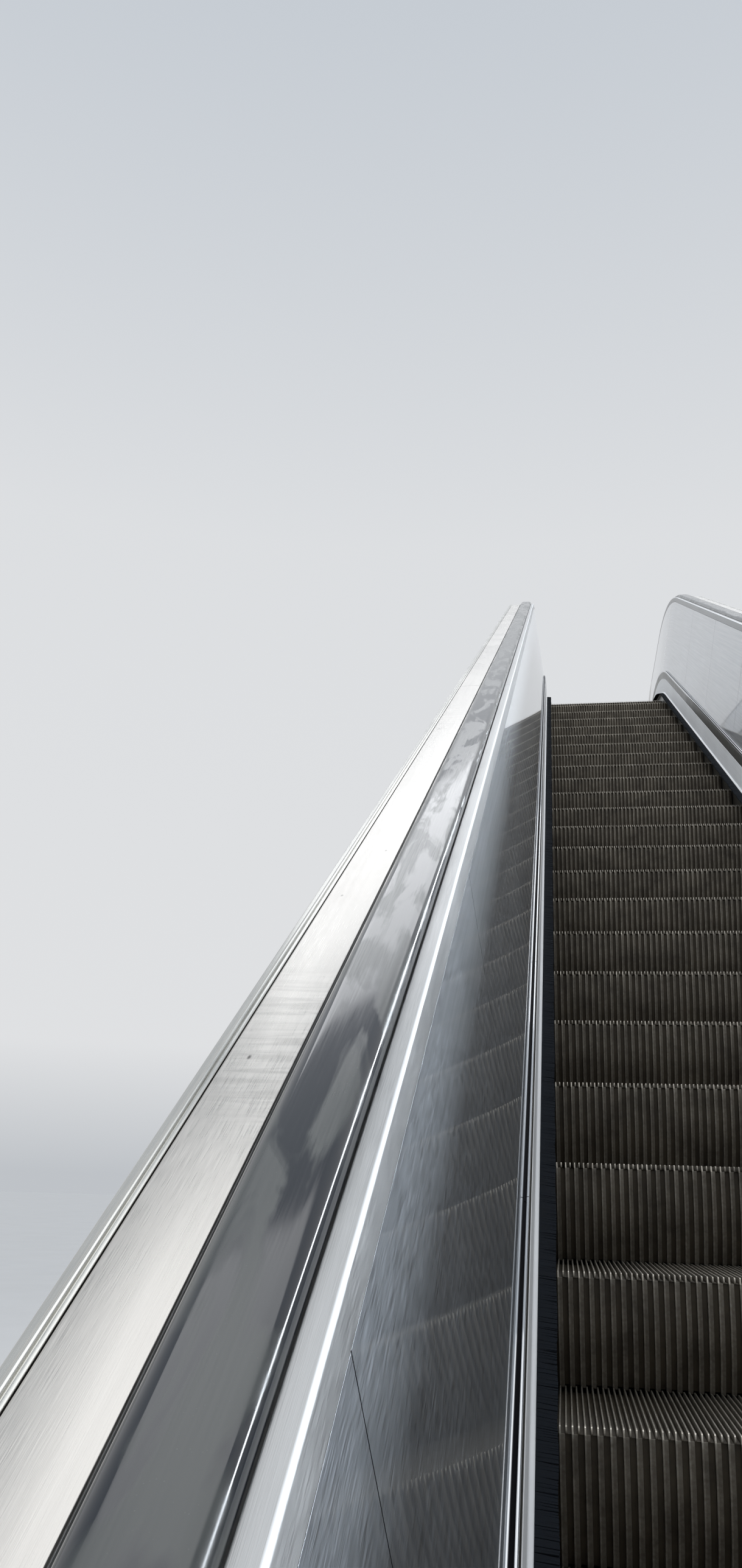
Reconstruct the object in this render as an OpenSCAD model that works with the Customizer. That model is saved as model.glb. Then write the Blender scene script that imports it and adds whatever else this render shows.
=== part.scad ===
// Escalator with full height solid balustrades, one unit of a pair, from bearing angle to bearing angle.
// X runs across the steps, Y runs forward up the incline and Z is up.
// The origin lies on the underside of the lower bearing angle, in the middle of the unit.
// Cross sections are drawn as distance across from the middle, and height over the line of the step noses.

/* [Run] */
// Height between the two floors
rise = 6570; // [5000:10:9000]
// Angle of the incline
incline = 30; // [27:1:35]
// Radius of the lower bend, at the step noses
low_bend_r = 2400; // [2000:50:3200]
// Radius of the upper bend, at the step noses
up_bend_r = 2600; // [1800:50:3600]
// Level run of steps between a comb and its bend
level_run = 860; // [820:10:1700]
// Length of a landing, from the end of the truss to the comb line
landing_len = 1500; // [1300:10:2000]
// Number of panel bays along the incline
bays = 10; // [8:1:14]
// Gap at a joint between two panels
joint_gap = 2; // [1:0.5:4]
// Number of lengths of deck and brush holder along the incline
trim_lengths = 2; // [1:1:6]

/* [Steps] */
// Width of a step
step_w = 1000; // [600:100:1000]
// Depth of a tread
tread_depth = 400; // [380:1:402]
// Distance from one step to the next, along the run
step_pitch = 405; // [404:0.5:410]
// How far the nose of the first step lies behind the lower comb line
first_nose = 248; // [200:1:330]
// Thickness of a tread
tread_t = 30; // [20:1:40]
// Height of a riser, down from the nose
riser_h = 206; // [204:1:208]
// Thickness of a riser
riser_t = 12; // [8:1:16]
// Radius of a step wheel
wheel_r = 37; // [30:1:40]
// Width of a step wheel
wheel_w = 24; // [16:1:30]
// Distance of the front wheel behind the nose
front_wheel_y = 110; // [105:1:130]
// Distance of the rear wheel behind the nose
rear_wheel_y = 330; // [300:1:345]
// Depth of both wheel centres under the tread
wheel_drop = 175; // [174:1:190]
// Radius of a wheel axle
axle_r = 10; // [8:1:14]
// Thickness of a side frame of a step
yoke_t = 10; // [6:1:14]
// Metal of a side frame round its axles
yoke_rim = 12; // [10:1:14]
// Distance of the front wheels from the side of the step
front_wheel_inset = 45; // [42:1:48]
// Distance across between a front and a rear wheel
wheel_spacing = 56; // [54:1:60]
// Distance across between a rear wheel and a side frame
yoke_spacing = 50; // [35:1:60]

/* [Combs] */
// Distance from one cleat or comb tooth to the next
cleat_pitch = 9.8; // [8:0.1:10]
// Thickness of a comb tooth
tooth_w = 3.2; // [2.5:0.1:4]
// Length of a comb tooth
tooth_len = 28; // [20:1:40]
// Gap between the comb and the treads
comb_clear = 1; // [1:0.5:2]
// Height of the tips of the comb teeth over the treads
tip_h = 3; // [2.5:0.5:5]
// Length of the comb behind its teeth
comb_body = 60; // [40:1:90]
// Height of the floor over the treads
floor_step = 22; // [16:1:30]
// Thickness of the comb plate
comb_plate_t = 12; // [8:1:14]
// Length of comb and comb plate, from the comb line
comb_plate_len = 480; // [460:10:600]
// Thickness of the floor plates
floor_plate_t = 20; // [12:1:30]

/* [Balustrade] */
// Gap between a step and the skirt
skirt_gap = 4; // [2:0.5:4]
// Thickness of the skirt and panel sheets
sheet_t = 4; // [3:0.5:6]
// Reach of the skirt under the line of the step noses
skirt_low = 240; // [220:5:260]
// Height of the seam between skirt and interior panel
skirt_top = 250; // [230:5:280]
// Height of the decks
deck_top = 868; // [820:2:900]
// Distance across from the skirt to the deck nose, over the foot and the lean of a panel
panel_lean = 87; // [60:1:110]
// Width of the foot of an interior panel, over the skirt
foot_w = 14.7; // [13:0.1:20]
// Height of that foot
foot_h = 12; // [11:1:20]
// Width of the bead along the foot
bead_w = 4.2; // [3:0.2:5]
// How far the bead stands over the foot
bead_h = 2; // [1:0.5:3]
// Width of the groove between bead and panel
groove_w = 5.5; // [4:0.5:6]
// Depth of that groove
groove_d = 8; // [4:1:9]
// Height of the deck nose over the panel edge
nose_h = 38; // [25:1:50]
// Width of the inner deck strip
inner_deck_w = 21.5; // [15:0.5:40]
// Width of the trough that the handrail runs in
trough_w = 88.5; // [84.5:0.5:96]
// Depth of the trough under the decks
trough_depth = 15; // [14:0.5:20]
// Width of the outer deck
outer_deck_w = 71; // [50:0.5:160]
// Width of the strip along the outer edge
edge_strip_w = 21; // [15:1:40]
// Height of the outer edge strip
edge_strip_h = 40; // [25:1:60]

/* [Skirt brush] */
// Lower edge of the brush holder
holder_low = 52; // [45:1:90]
// Height of the brush holder
holder_h = 130; // [80:5:140]
// Height of its upright lower edge
holder_edge_h = 10; // [10:1:20]
// Thickness of its upper edge
holder_top_t = 1.5; // [1:0.5:3]
// How far the holder stands out of the skirt
holder_out = 10; // [8:1:16]
// Length of the bristles
bristle_len = 34; // [20:1:40]
// Thickness of the row of bristles
bristle_t = 8; // [5:1:12]
// How far the tips of the bristles hang under their roots
bristle_droop = 4; // [0:0.5:8]

/* [Handrail] */
// Width of the handrail
rail_w = 80; // [76:1:82]
// Height of the handrail
rail_h = 34; // [30:1:35]
// Height of its top over the line of the step noses
rail_top = 889; // [888:1:920]
// Thickness of the rubber over the guide
rail_t = 11.7; // [9:0.1:13]
// Width of the hollow inside the handrail
rail_hollow_w = 60; // [56:1:64]
// Width of the mouth between its lips
rail_mouth_w = 42; // [38:1:46]
// Height of its lips
rail_lip_h = 6; // [4:0.5:8]
// Gap between the handrail and the inner deck
rail_gap = 1; // [1:0.5:4]
// Gap between the handrail and its guide
rail_fit = 0.3; // [0.3:0.1:1]
// Gap between the sides of the guide head and the handrail
guide_play = 2; // [1:0.5:4]
// Thickness of the guide head
guide_head_t = 10; // [6:0.5:12]
// Width of the guide foot
guide_foot_w = 30; // [20:1:36]

/* [Newels] */
// Radius of a newel, at the decks
newel_r = 300; // [250:5:320]
// How far the handrail reaches past the comb line
newel_reach = 700; // [660:10:800]
// Distance from the middle of the newel to the face of its base
newel_base_y = 60; // [40:5:100]
// Distance from the middle of the newel to its joint with the panels
newel_joint_y = 240; // [200:5:300]
// Width of the handrail inlet
inlet_w = 116; // [108:1:130]
// Rim of the handrail inlet, under the handrail
inlet_rim = 20; // [15:1:40]
// Gap between the handrail and its inlet
rail_play = 3; // [2:0.5:6]
// How far the inlet stands out of the newel base
inlet_out = 18; // [10:1:30]
// Space round the returning handrail inside a newel
return_play = 8; // [5:1:12]

/* [Casing and truss] */
// Depth of the casing under the line of the step noses
casing_depth = 1000; // [900:10:1200]
// Top of the truss under the line of the step noses
truss_top = 430; // [425:5:500]
// Thickness of the side and bottom casing
casing_t = 4; // [3:0.5:8]
// Width of the rails that the wheels run on
track_w = 30; // [26:1:34]
// Thickness of the rails that the wheels run on
track_t = 20; // [10:1:24]
// How far the rails reach past the upper comb line
track_past_comb = 200; // [180:10:300]
// Thickness of a cross frame
frame_t = 10; // [6:1:16]
// Height of the tie between the posts of a cross frame
frame_tie_h = 40; // [20:5:60]
// Space round the returning handrail in a cross frame
frame_window_play = 25; // [15:1:30]
// Distance of a cross frame from the joint beside it
frame_inset = 40; // [20:5:60]
// How far a comb plate rests on the box under the floor
plate_rest = 50; // [20:5:100]
// Thickness of the end plates
end_plate_t = 12; // [8:1:20]

/* [Bearings] */
// Depth of the bearing faces under the floors
bearing_depth = 180; // [120:5:260]
// Length of the leg that bears on the building
bearing_leg = 200; // [150:5:260]
// Height of the leg that is fixed to the truss
bearing_back = 160; // [120:5:200]
// Thickness of the bearing angle
bearing_t = 20; // [12:1:30]

/* [Hidden] */
$fn = 96;

// Heights
low_floor_z = bearing_depth;
low_z = low_floor_z - floor_step;
up_z = low_z + rise;
up_floor_z = up_z + floor_step;

// Places along Y, from the lower end of the truss to the upper one
truss_low_y = bearing_leg / 2;
comb_low_y = truss_low_y + landing_len;
bend_low_y = comb_low_y + level_run;
incline_y = bend_low_y + low_bend_r * sin(incline);
incline_z = low_z + low_bend_r * (1 - cos(incline));
incline_len = (rise - (low_bend_r + up_bend_r) * (1 - cos(incline))) / sin(incline);
bend_up_y = incline_y + incline_len * cos(incline);
level_up_y = bend_up_y + up_bend_r * sin(incline);
comb_up_y = level_up_y + level_run;
truss_up_y = comb_up_y + landing_len;
bay_len = incline_len / bays;

// Lengths along the line of the step noses, from the lower comb line
low_bend_len = low_bend_r * incline * PI / 180;
up_bend_len = up_bend_r * incline * PI / 180;
incline_s = level_run + low_bend_len;
up_bend_s = incline_s + incline_len;
level_up_s = up_bend_s + up_bend_len;
run_len = level_up_s + level_run;
step_count = floor((run_len + first_nose) / step_pitch) + 1;
low_step_count = ceil((incline_s + first_nose) / step_pitch);
up_step_first = ceil((up_bend_s + first_nose) / step_pitch);

// Places across
skirt_x = step_w / 2 + skirt_gap;
panel_top_x = skirt_x + panel_lean;
trough_x = panel_top_x + inner_deck_w;
outer_deck_x = trough_x + trough_w;
edge_strip_x = outer_deck_x + outer_deck_w;
side_x = edge_strip_x + edge_strip_w;
rail_x = trough_x + rail_gap + rail_w / 2;
foot_x = skirt_x + foot_w;
lean_slope = (panel_top_x - foot_x) / (deck_top - skirt_top);
panel_edge_n = deck_top - nose_h;
panel_edge_x = foot_x + (panel_edge_n - skirt_top) * lean_slope;
trough_n = deck_top - trough_depth;

// Newels and the loop of the handrail
newel_n = deck_top - newel_r;
newel_low_y = comb_low_y - newel_reach + (rail_top - newel_n);
newel_up_y = comb_up_y + newel_reach - (rail_top - newel_n);
joint_low_y = newel_low_y + newel_joint_y;
joint_up_y = newel_up_y - newel_joint_y;

// How far straight lengths lap over a bend, and how much slimmer the bend is drawn there
run_lap = 1;
bend_slim = 0.05;

// How far a cut, or a piece that is joined on, reaches past the face it starts from
lap = 1;

// Wheels and their rails
outer_track_x = step_w / 2 - front_wheel_inset;
inner_track_x = outer_track_x - wheel_spacing;
yoke_x = inner_track_x - yoke_spacing;

// Profile pieces that are carried along the run

module along_level(y, z, len) {
  translate([0, y + len, z]) rotate([90, 0, 0]) linear_extrude(len) children();
}

module along_incline(from, len) {
  translate([0, incline_y, incline_z]) rotate([incline, 0, 0]) along_level(from, 0, len) children();
}

module along_low_bend() {
  translate([0, bend_low_y, low_z + low_bend_r]) rotate([0, 90, 0])
    rotate_extrude(angle = incline) translate([low_bend_r, 0]) rotate(90) children();
}

module along_up_bend() {
  translate([0, level_up_y, up_z - up_bend_r]) rotate([0, -90, 0]) rotate([0, 0, -incline])
    rotate_extrude(angle = incline) translate([up_bend_r, 0]) rotate(-90) children();
}

// One unbroken length, from a place on the lower level to one on the upper level. The straight
// lengths take the first profile and lap a little over the bends, which take a slightly slimmer one.
module whole_run(y_from, y_to) {
  along_level(y_from, low_z, bend_low_y - y_from + run_lap) children(0);
  along_low_bend() children(1);
  along_incline(-run_lap, incline_len + 2 * run_lap) children(0);
  along_up_bend() children(1);
  along_level(level_up_y - run_lap, up_z, y_to - level_up_y + run_lap) children(0);
}

// The same run as separate lengths with a joint between them, some of them along the incline
module jointed_run(y_from, y_to, lengths = bays) {
  part_len = incline_len / lengths;
  along_level(y_from + joint_gap / 2, low_z, bend_low_y - y_from - joint_gap) children();
  along_low_bend() children();
  for (i = [0 : lengths - 1]) along_incline(i * part_len + joint_gap / 2, part_len - joint_gap) children();
  along_up_bend() children();
  along_level(level_up_y + joint_gap / 2, up_z, y_to - level_up_y - joint_gap) children();
}

// Half a turn round a newel
module around_newel(y, z, turn) {
  translate([0, y, z + newel_n]) rotate([0, -90, 0]) rotate([0, 0, turn])
    rotate_extrude(angle = 180) translate([-newel_n, 0]) rotate(-90) children();
}

// A side view drawn in Y and Z, given a width along X
module across(x_from, width) {
  translate([x_from, 0, 0]) rotate([90, 0, 90]) linear_extrude(width) children();
}

// The right hand side as modelled, or mirrored for the left
module side(right) {
  if (right) children();
  else mirror([1, 0, 0]) children();
}

// Steps

function step_s(k) = k * step_pitch - first_nose;
function run_y(s) =
  s < level_run ? comb_low_y + s :
  s < incline_s ? bend_low_y + low_bend_r * sin((s - level_run) / low_bend_r * 180 / PI) :
  s < up_bend_s ? incline_y + (s - incline_s) * cos(incline) :
  s < level_up_s ? level_up_y - up_bend_r * sin((level_up_s - s) / up_bend_r * 180 / PI) :
  level_up_y + s - level_up_s;
function run_z(s) =
  s < level_run ? low_z :
  s < incline_s ? low_z + low_bend_r * (1 - cos((s - level_run) / low_bend_r * 180 / PI)) :
  s < up_bend_s ? incline_z + (s - incline_s) * sin(incline) :
  s < level_up_s ? up_z - up_bend_r * (1 - cos((level_up_s - s) / up_bend_r * 180 / PI)) :
  up_z;

// Side view of tread and riser: the riser curves about the rear edge of its own tread
module step_outline() {
  translate([0, -tread_t]) square([tread_depth, tread_t]);
  difference() {
    intersection() {
      translate([tread_depth, 0]) circle(tread_depth);
      translate([0, -riser_h]) square([tread_depth / 4, riser_h]);
    }
    translate([tread_depth, 0]) circle(tread_depth - riser_t);
  }
}

module yoke_outline() {
  low = -wheel_drop - yoke_rim;
  polygon([[2 * riser_t, -tread_t], [tread_depth - yoke_rim, -tread_t], [rear_wheel_y + 2 * yoke_rim, low],
    [front_wheel_y - 2 * yoke_rim, low], [front_wheel_y - 4 * yoke_rim, low + 4 * yoke_rim]]);
}

module wheel_set(y, x) {
  translate([0, y, -wheel_drop]) rotate([0, 90, 0]) {
    cylinder(r = axle_r, h = 2 * x, center = true);
    for (m = [-1, 1]) translate([0, 0, m * x]) cylinder(r = wheel_r, h = wheel_w, center = true);
  }
}

module step() {
  across(-step_w / 2, step_w) step_outline();
  for (x = [-yoke_x - yoke_t, yoke_x]) across(x, yoke_t) yoke_outline();
  wheel_set(front_wheel_y, outer_track_x);
  wheel_set(rear_wheel_y, inner_track_x);
}

module steps(from, to) {
  color("#4a4640") for (k = [from : to]) translate([0, run_y(step_s(k)), run_z(step_s(k))]) step();
}

module steps_lower_landing() steps(0, low_step_count - 1);
module steps_incline() steps(low_step_count, up_step_first - 1);
module steps_upper_landing() steps(up_step_first, step_count - 1);

// Combs and floor plates, drawn for the lower landing and turned round for the upper one

module at_landing(upper) {
  translate([0, upper ? comb_up_y : comb_low_y, upper ? up_z : low_z])
    rotate([0, 0, upper ? 180 : 0]) children();
}

module comb() {
  teeth = floor(step_w / cleat_pitch);
  intersection() {
    linear_extrude(floor_step) {
      translate([-step_w / 2, -comb_body]) square([step_w, comb_body]);
      for (i = [0 : teeth - 1])
        translate([(i - (teeth - 1) / 2) * cleat_pitch - tooth_w / 2, -lap])
          square([tooth_w, tooth_len + lap]);
    }
    across(-step_w / 2, step_w)
      polygon([[-comb_body, comb_clear], [tooth_len, comb_clear], [tooth_len, tip_h],
        [-comb_body, floor_step]]);
  }
}

module comb_lower() color("#b9b4a6") at_landing(false) comb();
module comb_upper() color("#b9b4a6") at_landing(true) comb();

module comb_plate() {
  translate([-step_w / 2, -comb_plate_len, floor_step - comb_plate_t])
    cube([step_w, comb_plate_len - comb_body, comb_plate_t]);
}

module comb_plate_lower() color("#9b9b98") at_landing(false) comb_plate();
module comb_plate_upper() color("#9b9b98") at_landing(true) comb_plate();

// The floor plate reaches along both newel bases beside the comb plate
module floor_plate() {
  base_y = newel_low_y + newel_base_y - comb_low_y;
  translate([0, 0, floor_step - floor_plate_t]) linear_extrude(floor_plate_t) difference() {
    translate([-side_x, -landing_len]) square([2 * side_x, landing_len + base_y - joint_gap]);
    translate([-skirt_x, -comb_plate_len - joint_gap]) square([2 * skirt_x, landing_len]);
  }
}

module floor_plate_lower() color("#8f8f8c") at_landing(false) floor_plate();
module floor_plate_upper() color("#8f8f8c") at_landing(true) floor_plate();

// Balustrade sheets

module skirt_section() {
  translate([skirt_x, -skirt_low]) square([sheet_t, skirt_low + skirt_top - foot_h]);
}

// The foot of a panel rests on the skirt, with a bead and a groove along it
module panel_section() {
  bead_x = skirt_x + bead_w;
  groove_x = bead_x + groove_w;
  polygon([
    [skirt_x, skirt_top - foot_h], [foot_x + sheet_t, skirt_top - foot_h], [foot_x + sheet_t, skirt_top],
    [panel_edge_x + sheet_t, panel_edge_n], [panel_edge_x, panel_edge_n], [foot_x, skirt_top],
    [groove_x, skirt_top], [groove_x, skirt_top - groove_d], [bead_x, skirt_top - groove_d],
    [bead_x, skirt_top + bead_h], [skirt_x, skirt_top + bead_h]
  ]);
}

// Nose, strip and trough as one folded sheet
module inner_deck_section() {
  polygon([
    [panel_edge_x, panel_edge_n], [panel_top_x, deck_top], [trough_x, deck_top], [trough_x, trough_n],
    [trough_x + trough_w, trough_n], [trough_x + trough_w, deck_top - sheet_t],
    [trough_x + trough_w + sheet_t, deck_top - sheet_t], [trough_x + trough_w + sheet_t, trough_n - sheet_t],
    [trough_x - sheet_t, trough_n - sheet_t], [trough_x - sheet_t, deck_top - sheet_t],
    [panel_top_x + sheet_t, deck_top - sheet_t], [panel_edge_x + sheet_t, panel_edge_n]
  ]);
}

// The run of the decks, in lengths longer than the panels
module trim_run() jointed_run(joint_low_y, joint_up_y, trim_lengths) children();

module outer_deck_section() {
  translate([outer_deck_x, deck_top - sheet_t]) square([outer_deck_w, sheet_t]);
  translate([edge_strip_x - sheet_t, trough_n - sheet_t]) square([sheet_t, trough_depth + sheet_t]);
}

module edge_strip_section() {
  translate([edge_strip_x, deck_top - sheet_t]) square([edge_strip_w, sheet_t]);
  translate([side_x - sheet_t, deck_top - edge_strip_h]) square([sheet_t, edge_strip_h]);
}

module casing_section() {
  translate([side_x - casing_t, -casing_depth]) square([casing_t, casing_depth + deck_top - edge_strip_h]);
}

module skirt(right) color("#8d8a84") side(right) jointed_run(joint_low_y, joint_up_y) skirt_section();
module skirt_left() skirt(false);
module skirt_right() skirt(true);

module interior_panels(right) color("#b4b0a8") side(right) jointed_run(joint_low_y, joint_up_y) panel_section();
module interior_panels_left() interior_panels(false);
module interior_panels_right() interior_panels(true);

module inner_deck(right) color("#c9c6bf") side(right) trim_run() inner_deck_section();
module inner_deck_left() inner_deck(false);
module inner_deck_right() inner_deck(true);

module outer_deck(right) color("#bdbab3") side(right) trim_run() outer_deck_section();
module outer_deck_left() outer_deck(false);
module outer_deck_right() outer_deck(true);

module edge_strip(right) color("#d2d0ca") side(right) trim_run() edge_strip_section();
module edge_strip_left() edge_strip(false);
module edge_strip_right() edge_strip(true);

// Skirt brush

module holder_section() {
  polygon([[skirt_x - holder_out, holder_low], [skirt_x, holder_low], [skirt_x, holder_low + holder_h],
    [skirt_x - holder_top_t, holder_low + holder_h], [skirt_x - holder_out, holder_low + holder_edge_h]]);
}

module bristle_section() {
  root_x = skirt_x - holder_out;
  tip_x = root_x - bristle_len;
  tip_low = holder_low - bristle_droop;
  polygon([[root_x, holder_low], [root_x, holder_low + bristle_t], [tip_x, tip_low + bristle_t],
    [tip_x, tip_low]]);
}

module brush_holder(right) color("#c6c5c0") side(right) jointed_run(comb_low_y, comb_up_y, trim_lengths) holder_section();
module brush_holder_left() brush_holder(false);
module brush_holder_right() brush_holder(true);

module skirt_brush(right) color("#1d1c1b") side(right) jointed_run(comb_low_y, comb_up_y, trim_lengths) bristle_section();
module skirt_brush_left() skirt_brush(false);
module skirt_brush_right() skirt_brush(true);

// Handrail and guide

// The rounded sides are drawn as short flats, and slim takes a hair off every face
module rail_section(slim = 0) {
  round_r = rail_h / 2;
  bottom = rail_top - rail_h;
  round_side = [for (a = [-90 : 30 : 90])
    [rail_w / 2 - round_r + (round_r - slim) * cos(a), bottom + round_r + (round_r - slim) * sin(a)]];
  hollow_side = [
    [rail_mouth_w / 2 + slim, bottom + slim], [rail_mouth_w / 2 + slim, bottom + rail_lip_h - slim],
    [rail_hollow_w / 2 + slim, bottom + rail_lip_h - slim], [rail_hollow_w / 2 + slim, rail_top - rail_t + slim]];
  translate([rail_x, 0])
    polygon(concat(round_side, flipped(turned(round_side)), flipped(hollow_side), turned(hollow_side)));
}

function turned(points) = [for (i = [len(points) - 1 : -1 : 0]) points[i]];
function flipped(points) = [for (p = points) [-p[0], p[1]]];

module return_section(slim = 0) translate([0, 2 * newel_n]) mirror([0, 1]) rail_section(slim);

module guide_section(slim = 0) {
  head_top = rail_top - rail_t - rail_fit;
  head_w = rail_hollow_w - 2 * guide_play;
  translate([rail_x - head_w / 2 + slim, head_top - guide_head_t + slim])
    square([head_w - 2 * slim, guide_head_t - 2 * slim]);
  translate([rail_x - guide_foot_w / 2 + slim, trough_n + slim])
    square([guide_foot_w - 2 * slim, head_top - guide_head_t - trough_n]);
}

module both_newel_turns() {
  around_newel(newel_low_y, low_z, -180) children();
  around_newel(newel_up_y, up_z, 0) children();
}

module handrail(right) {
  color("#171615") side(right) {
    whole_run(newel_low_y, newel_up_y) {
      rail_section();
      rail_section(bend_slim);
    }
    whole_run(newel_low_y, newel_up_y) {
      return_section();
      return_section(bend_slim);
    }
    both_newel_turns() rail_section();
  }
}
module handrail_left() handrail(false);
module handrail_right() handrail(true);

module handrail_guide(right) {
  color("#77756f") side(right) {
    whole_run(newel_low_y, newel_up_y) {
      guide_section();
      guide_section(bend_slim);
    }
    both_newel_turns() guide_section();
  }
}
module handrail_guide_left() handrail_guide(false);
module handrail_guide_right() handrail_guide(true);

// Newels, drawn at the lower landing and turned round for the upper one

module newel_section() {
  polygon([[skirt_x, 0], [skirt_x, skirt_top], [foot_x, skirt_top], [panel_top_x, deck_top],
    [side_x, deck_top], [side_x, 0]]);
}

module newel_outline() {
  translate([0, newel_n]) circle(newel_r);
  translate([newel_base_y, 0]) square([newel_joint_y - newel_base_y, deck_top]);
  translate([0, newel_n]) square([newel_joint_y, newel_r]);
}

// The trough round the end, and the way in for the returning handrail
module newel_trough() {
  return_n = 2 * newel_n - rail_top;
  translate([trough_x, 0, newel_n]) rotate([0, 90, 0]) difference() {
    cylinder(r = newel_r + lap, h = trough_w);
    translate([0, 0, -lap]) cylinder(r = newel_r - trough_depth, h = trough_w + 2 * lap);
    translate([-newel_r - 2 * lap, 0, -lap])
      cube([2 * newel_r + 4 * lap, newel_r + 2 * lap, trough_w + 2 * lap]);
  }
  translate([trough_x, 0, trough_n]) cube([trough_w, newel_joint_y + lap, trough_depth + lap]);
  translate([trough_x, -lap, return_n - return_play])
    cube([trough_w, newel_joint_y + 2 * lap, rail_top - trough_n + 2 * return_play]);
}

module newel() {
  difference() {
    intersection() {
      along_level(-newel_r - lap, 0, newel_r + newel_joint_y + 2 * lap) newel_section();
      across(skirt_x - lap, side_x - skirt_x + 2 * lap) newel_outline();
    }
    newel_trough();
  }
}

module newel_at(right, upper) {
  color("#bcb8b0") translate([0, upper ? newel_up_y : newel_low_y, upper ? up_z : low_z])
    mirror([right ? 0 : 1, 0, 0]) mirror([0, upper ? 1 : 0, 0]) newel();
}
module newel_lower_left() newel_at(false, false);
module newel_lower_right() newel_at(true, false);
module newel_upper_left() newel_at(false, true);
module newel_upper_right() newel_at(true, true);

// A collar round three sides of the returning handrail, open to the trough above it
module inlet() {
  return_n = 2 * newel_n - rail_top;
  difference() {
    translate([rail_x - inlet_w / 2, newel_base_y - inlet_out, return_n - inlet_rim])
      cube([inlet_w, inlet_out, inlet_rim + rail_h]);
    translate([trough_x, newel_base_y - inlet_out - lap, return_n - rail_play])
      cube([trough_w, inlet_out + 2 * lap, rail_h + rail_play + lap]);
  }
}

module handrail_inlets(right) {
  color("#232220") side(right) {
    translate([0, newel_low_y, low_z]) inlet();
    translate([0, newel_up_y, up_z]) mirror([0, 1, 0]) inlet();
  }
}
module handrail_inlets_left() handrail_inlets(false);
module handrail_inlets_right() handrail_inlets(true);

// Casing, truss and the rails that carry the steps

module side_casing(right) {
  color("#a9a69f") side(right) {
    jointed_run(joint_low_y, joint_up_y) casing_section();
    for (m = [0, 1]) translate([0, m * (truss_up_y + truss_low_y), m * rise]) mirror([0, m, 0])
      across(side_x - casing_t, casing_t)
        polygon([[truss_low_y, low_z - casing_depth], [joint_low_y - joint_gap / 2, low_z - casing_depth],
          [joint_low_y - joint_gap / 2, low_z], [newel_low_y + newel_base_y, low_z],
          [newel_low_y + newel_base_y - joint_gap, low_floor_z - floor_plate_t],
          [truss_low_y, low_floor_z - floor_plate_t]]);
  }
}
module side_casing_left() side_casing(false);
module side_casing_right() side_casing(true);

module soffit_section() translate([-side_x, -casing_depth - casing_t]) square([2 * side_x, casing_t]);
module soffit() color("#9c9992") jointed_run(truss_low_y, truss_up_y) soffit_section();

module truss_section() {
  translate([-side_x + casing_t, -casing_depth]) square([2 * (side_x - casing_t), casing_depth - truss_top]);
}

module station_box() {
  translate([-side_x + casing_t, truss_low_y, low_z - truss_top - lap])
    cube([2 * (side_x - casing_t), landing_len - comb_plate_len + plate_rest,
      truss_top + lap + floor_step - floor_plate_t]);
}

module truss() {
  color("#6a6863") {
    jointed_run(truss_low_y - joint_gap / 2, truss_up_y + joint_gap / 2) truss_section();
    station_box();
    translate([0, truss_up_y + truss_low_y, rise]) mirror([0, 1, 0]) station_box();
  }
}

module track(x, wheel_y) {
  translate([0, wheel_y, -wheel_drop])
    jointed_run(comb_low_y - first_nose, comb_up_y - wheel_y + track_past_comb)
    translate([x - track_w / 2, -wheel_r - rail_fit - track_t]) square([track_w, track_t]);
}

module tracks(right) {
  color("#5d5b57") side(right) {
    track(outer_track_x, front_wheel_y);
    track(inner_track_x, rear_wheel_y);
  }
}
module tracks_left() tracks(false);
module tracks_right() tracks(true);

// Depth of a rail's underside under the line of the noses, where the run slopes by the angle a
function track_under(wheel_y, a) = -wheel_y * sin(a) - wheel_drop * cos(a) - wheel_r - rail_fit - track_t;

// A cross frame stands on the truss and carries both balustrades and the rails
module frame_section(a) {
  outer_n = track_under(front_wheel_y, a);
  inner_n = track_under(rear_wheel_y, a);
  back_x = skirt_x + sheet_t;
  foot_n = skirt_top - foot_h;
  return_n = 2 * newel_n - rail_top;
  difference() {
    union() {
      translate([back_x, -truss_top]) square([side_x - casing_t - back_x, truss_top + foot_n]);
      polygon([[foot_x + sheet_t, foot_n - lap], [side_x - casing_t, foot_n - lap],
        [side_x - casing_t, trough_n - sheet_t], [trough_x - sheet_t, trough_n - sheet_t],
        [panel_edge_x + sheet_t, panel_edge_n], [foot_x + sheet_t, skirt_top]]);
      translate([outer_track_x - track_w / 2, -truss_top])
        square([back_x + lap - outer_track_x + track_w / 2, truss_top - skirt_low - 2 * track_t]);
      translate([outer_track_x - track_w / 2, -truss_top]) square([track_w, truss_top + outer_n]);
      translate([inner_track_x - track_w / 2, -truss_top]) square([track_w, truss_top + inner_n]);
      translate([inner_track_x - track_w / 2, -truss_top])
        square([outer_track_x - inner_track_x + track_w, frame_tie_h]);
    }
    translate([rail_x - rail_w / 2 - frame_window_play, return_n - frame_window_play])
      square([rail_w + 2 * frame_window_play, rail_h + 2 * frame_window_play]);
  }
}

module cross_frames() {
  color("#6f6d68") for (right = [false, true]) side(right) {
    for (i = [0 : bays])
      along_incline(i * bay_len + (i == 0 ? frame_inset : i == bays ? -frame_inset : 0) - frame_t / 2, frame_t)
        frame_section(incline);
    for (y = [joint_low_y + frame_inset, bend_low_y - frame_inset])
      along_level(y, low_z, frame_t) frame_section(0);
    for (y = [level_up_y + frame_inset, joint_up_y - frame_inset])
      along_level(y, up_z, frame_t) frame_section(0);
  }
}

module end_plate_lower() {
  color("#6a6863") translate([-side_x, truss_low_y - end_plate_t, low_z - casing_depth])
    cube([2 * side_x, end_plate_t, casing_depth + floor_step]);
}

module end_plate_upper() {
  translate([0, truss_up_y + truss_low_y, rise]) mirror([0, 1, 0]) end_plate_lower();
}

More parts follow.
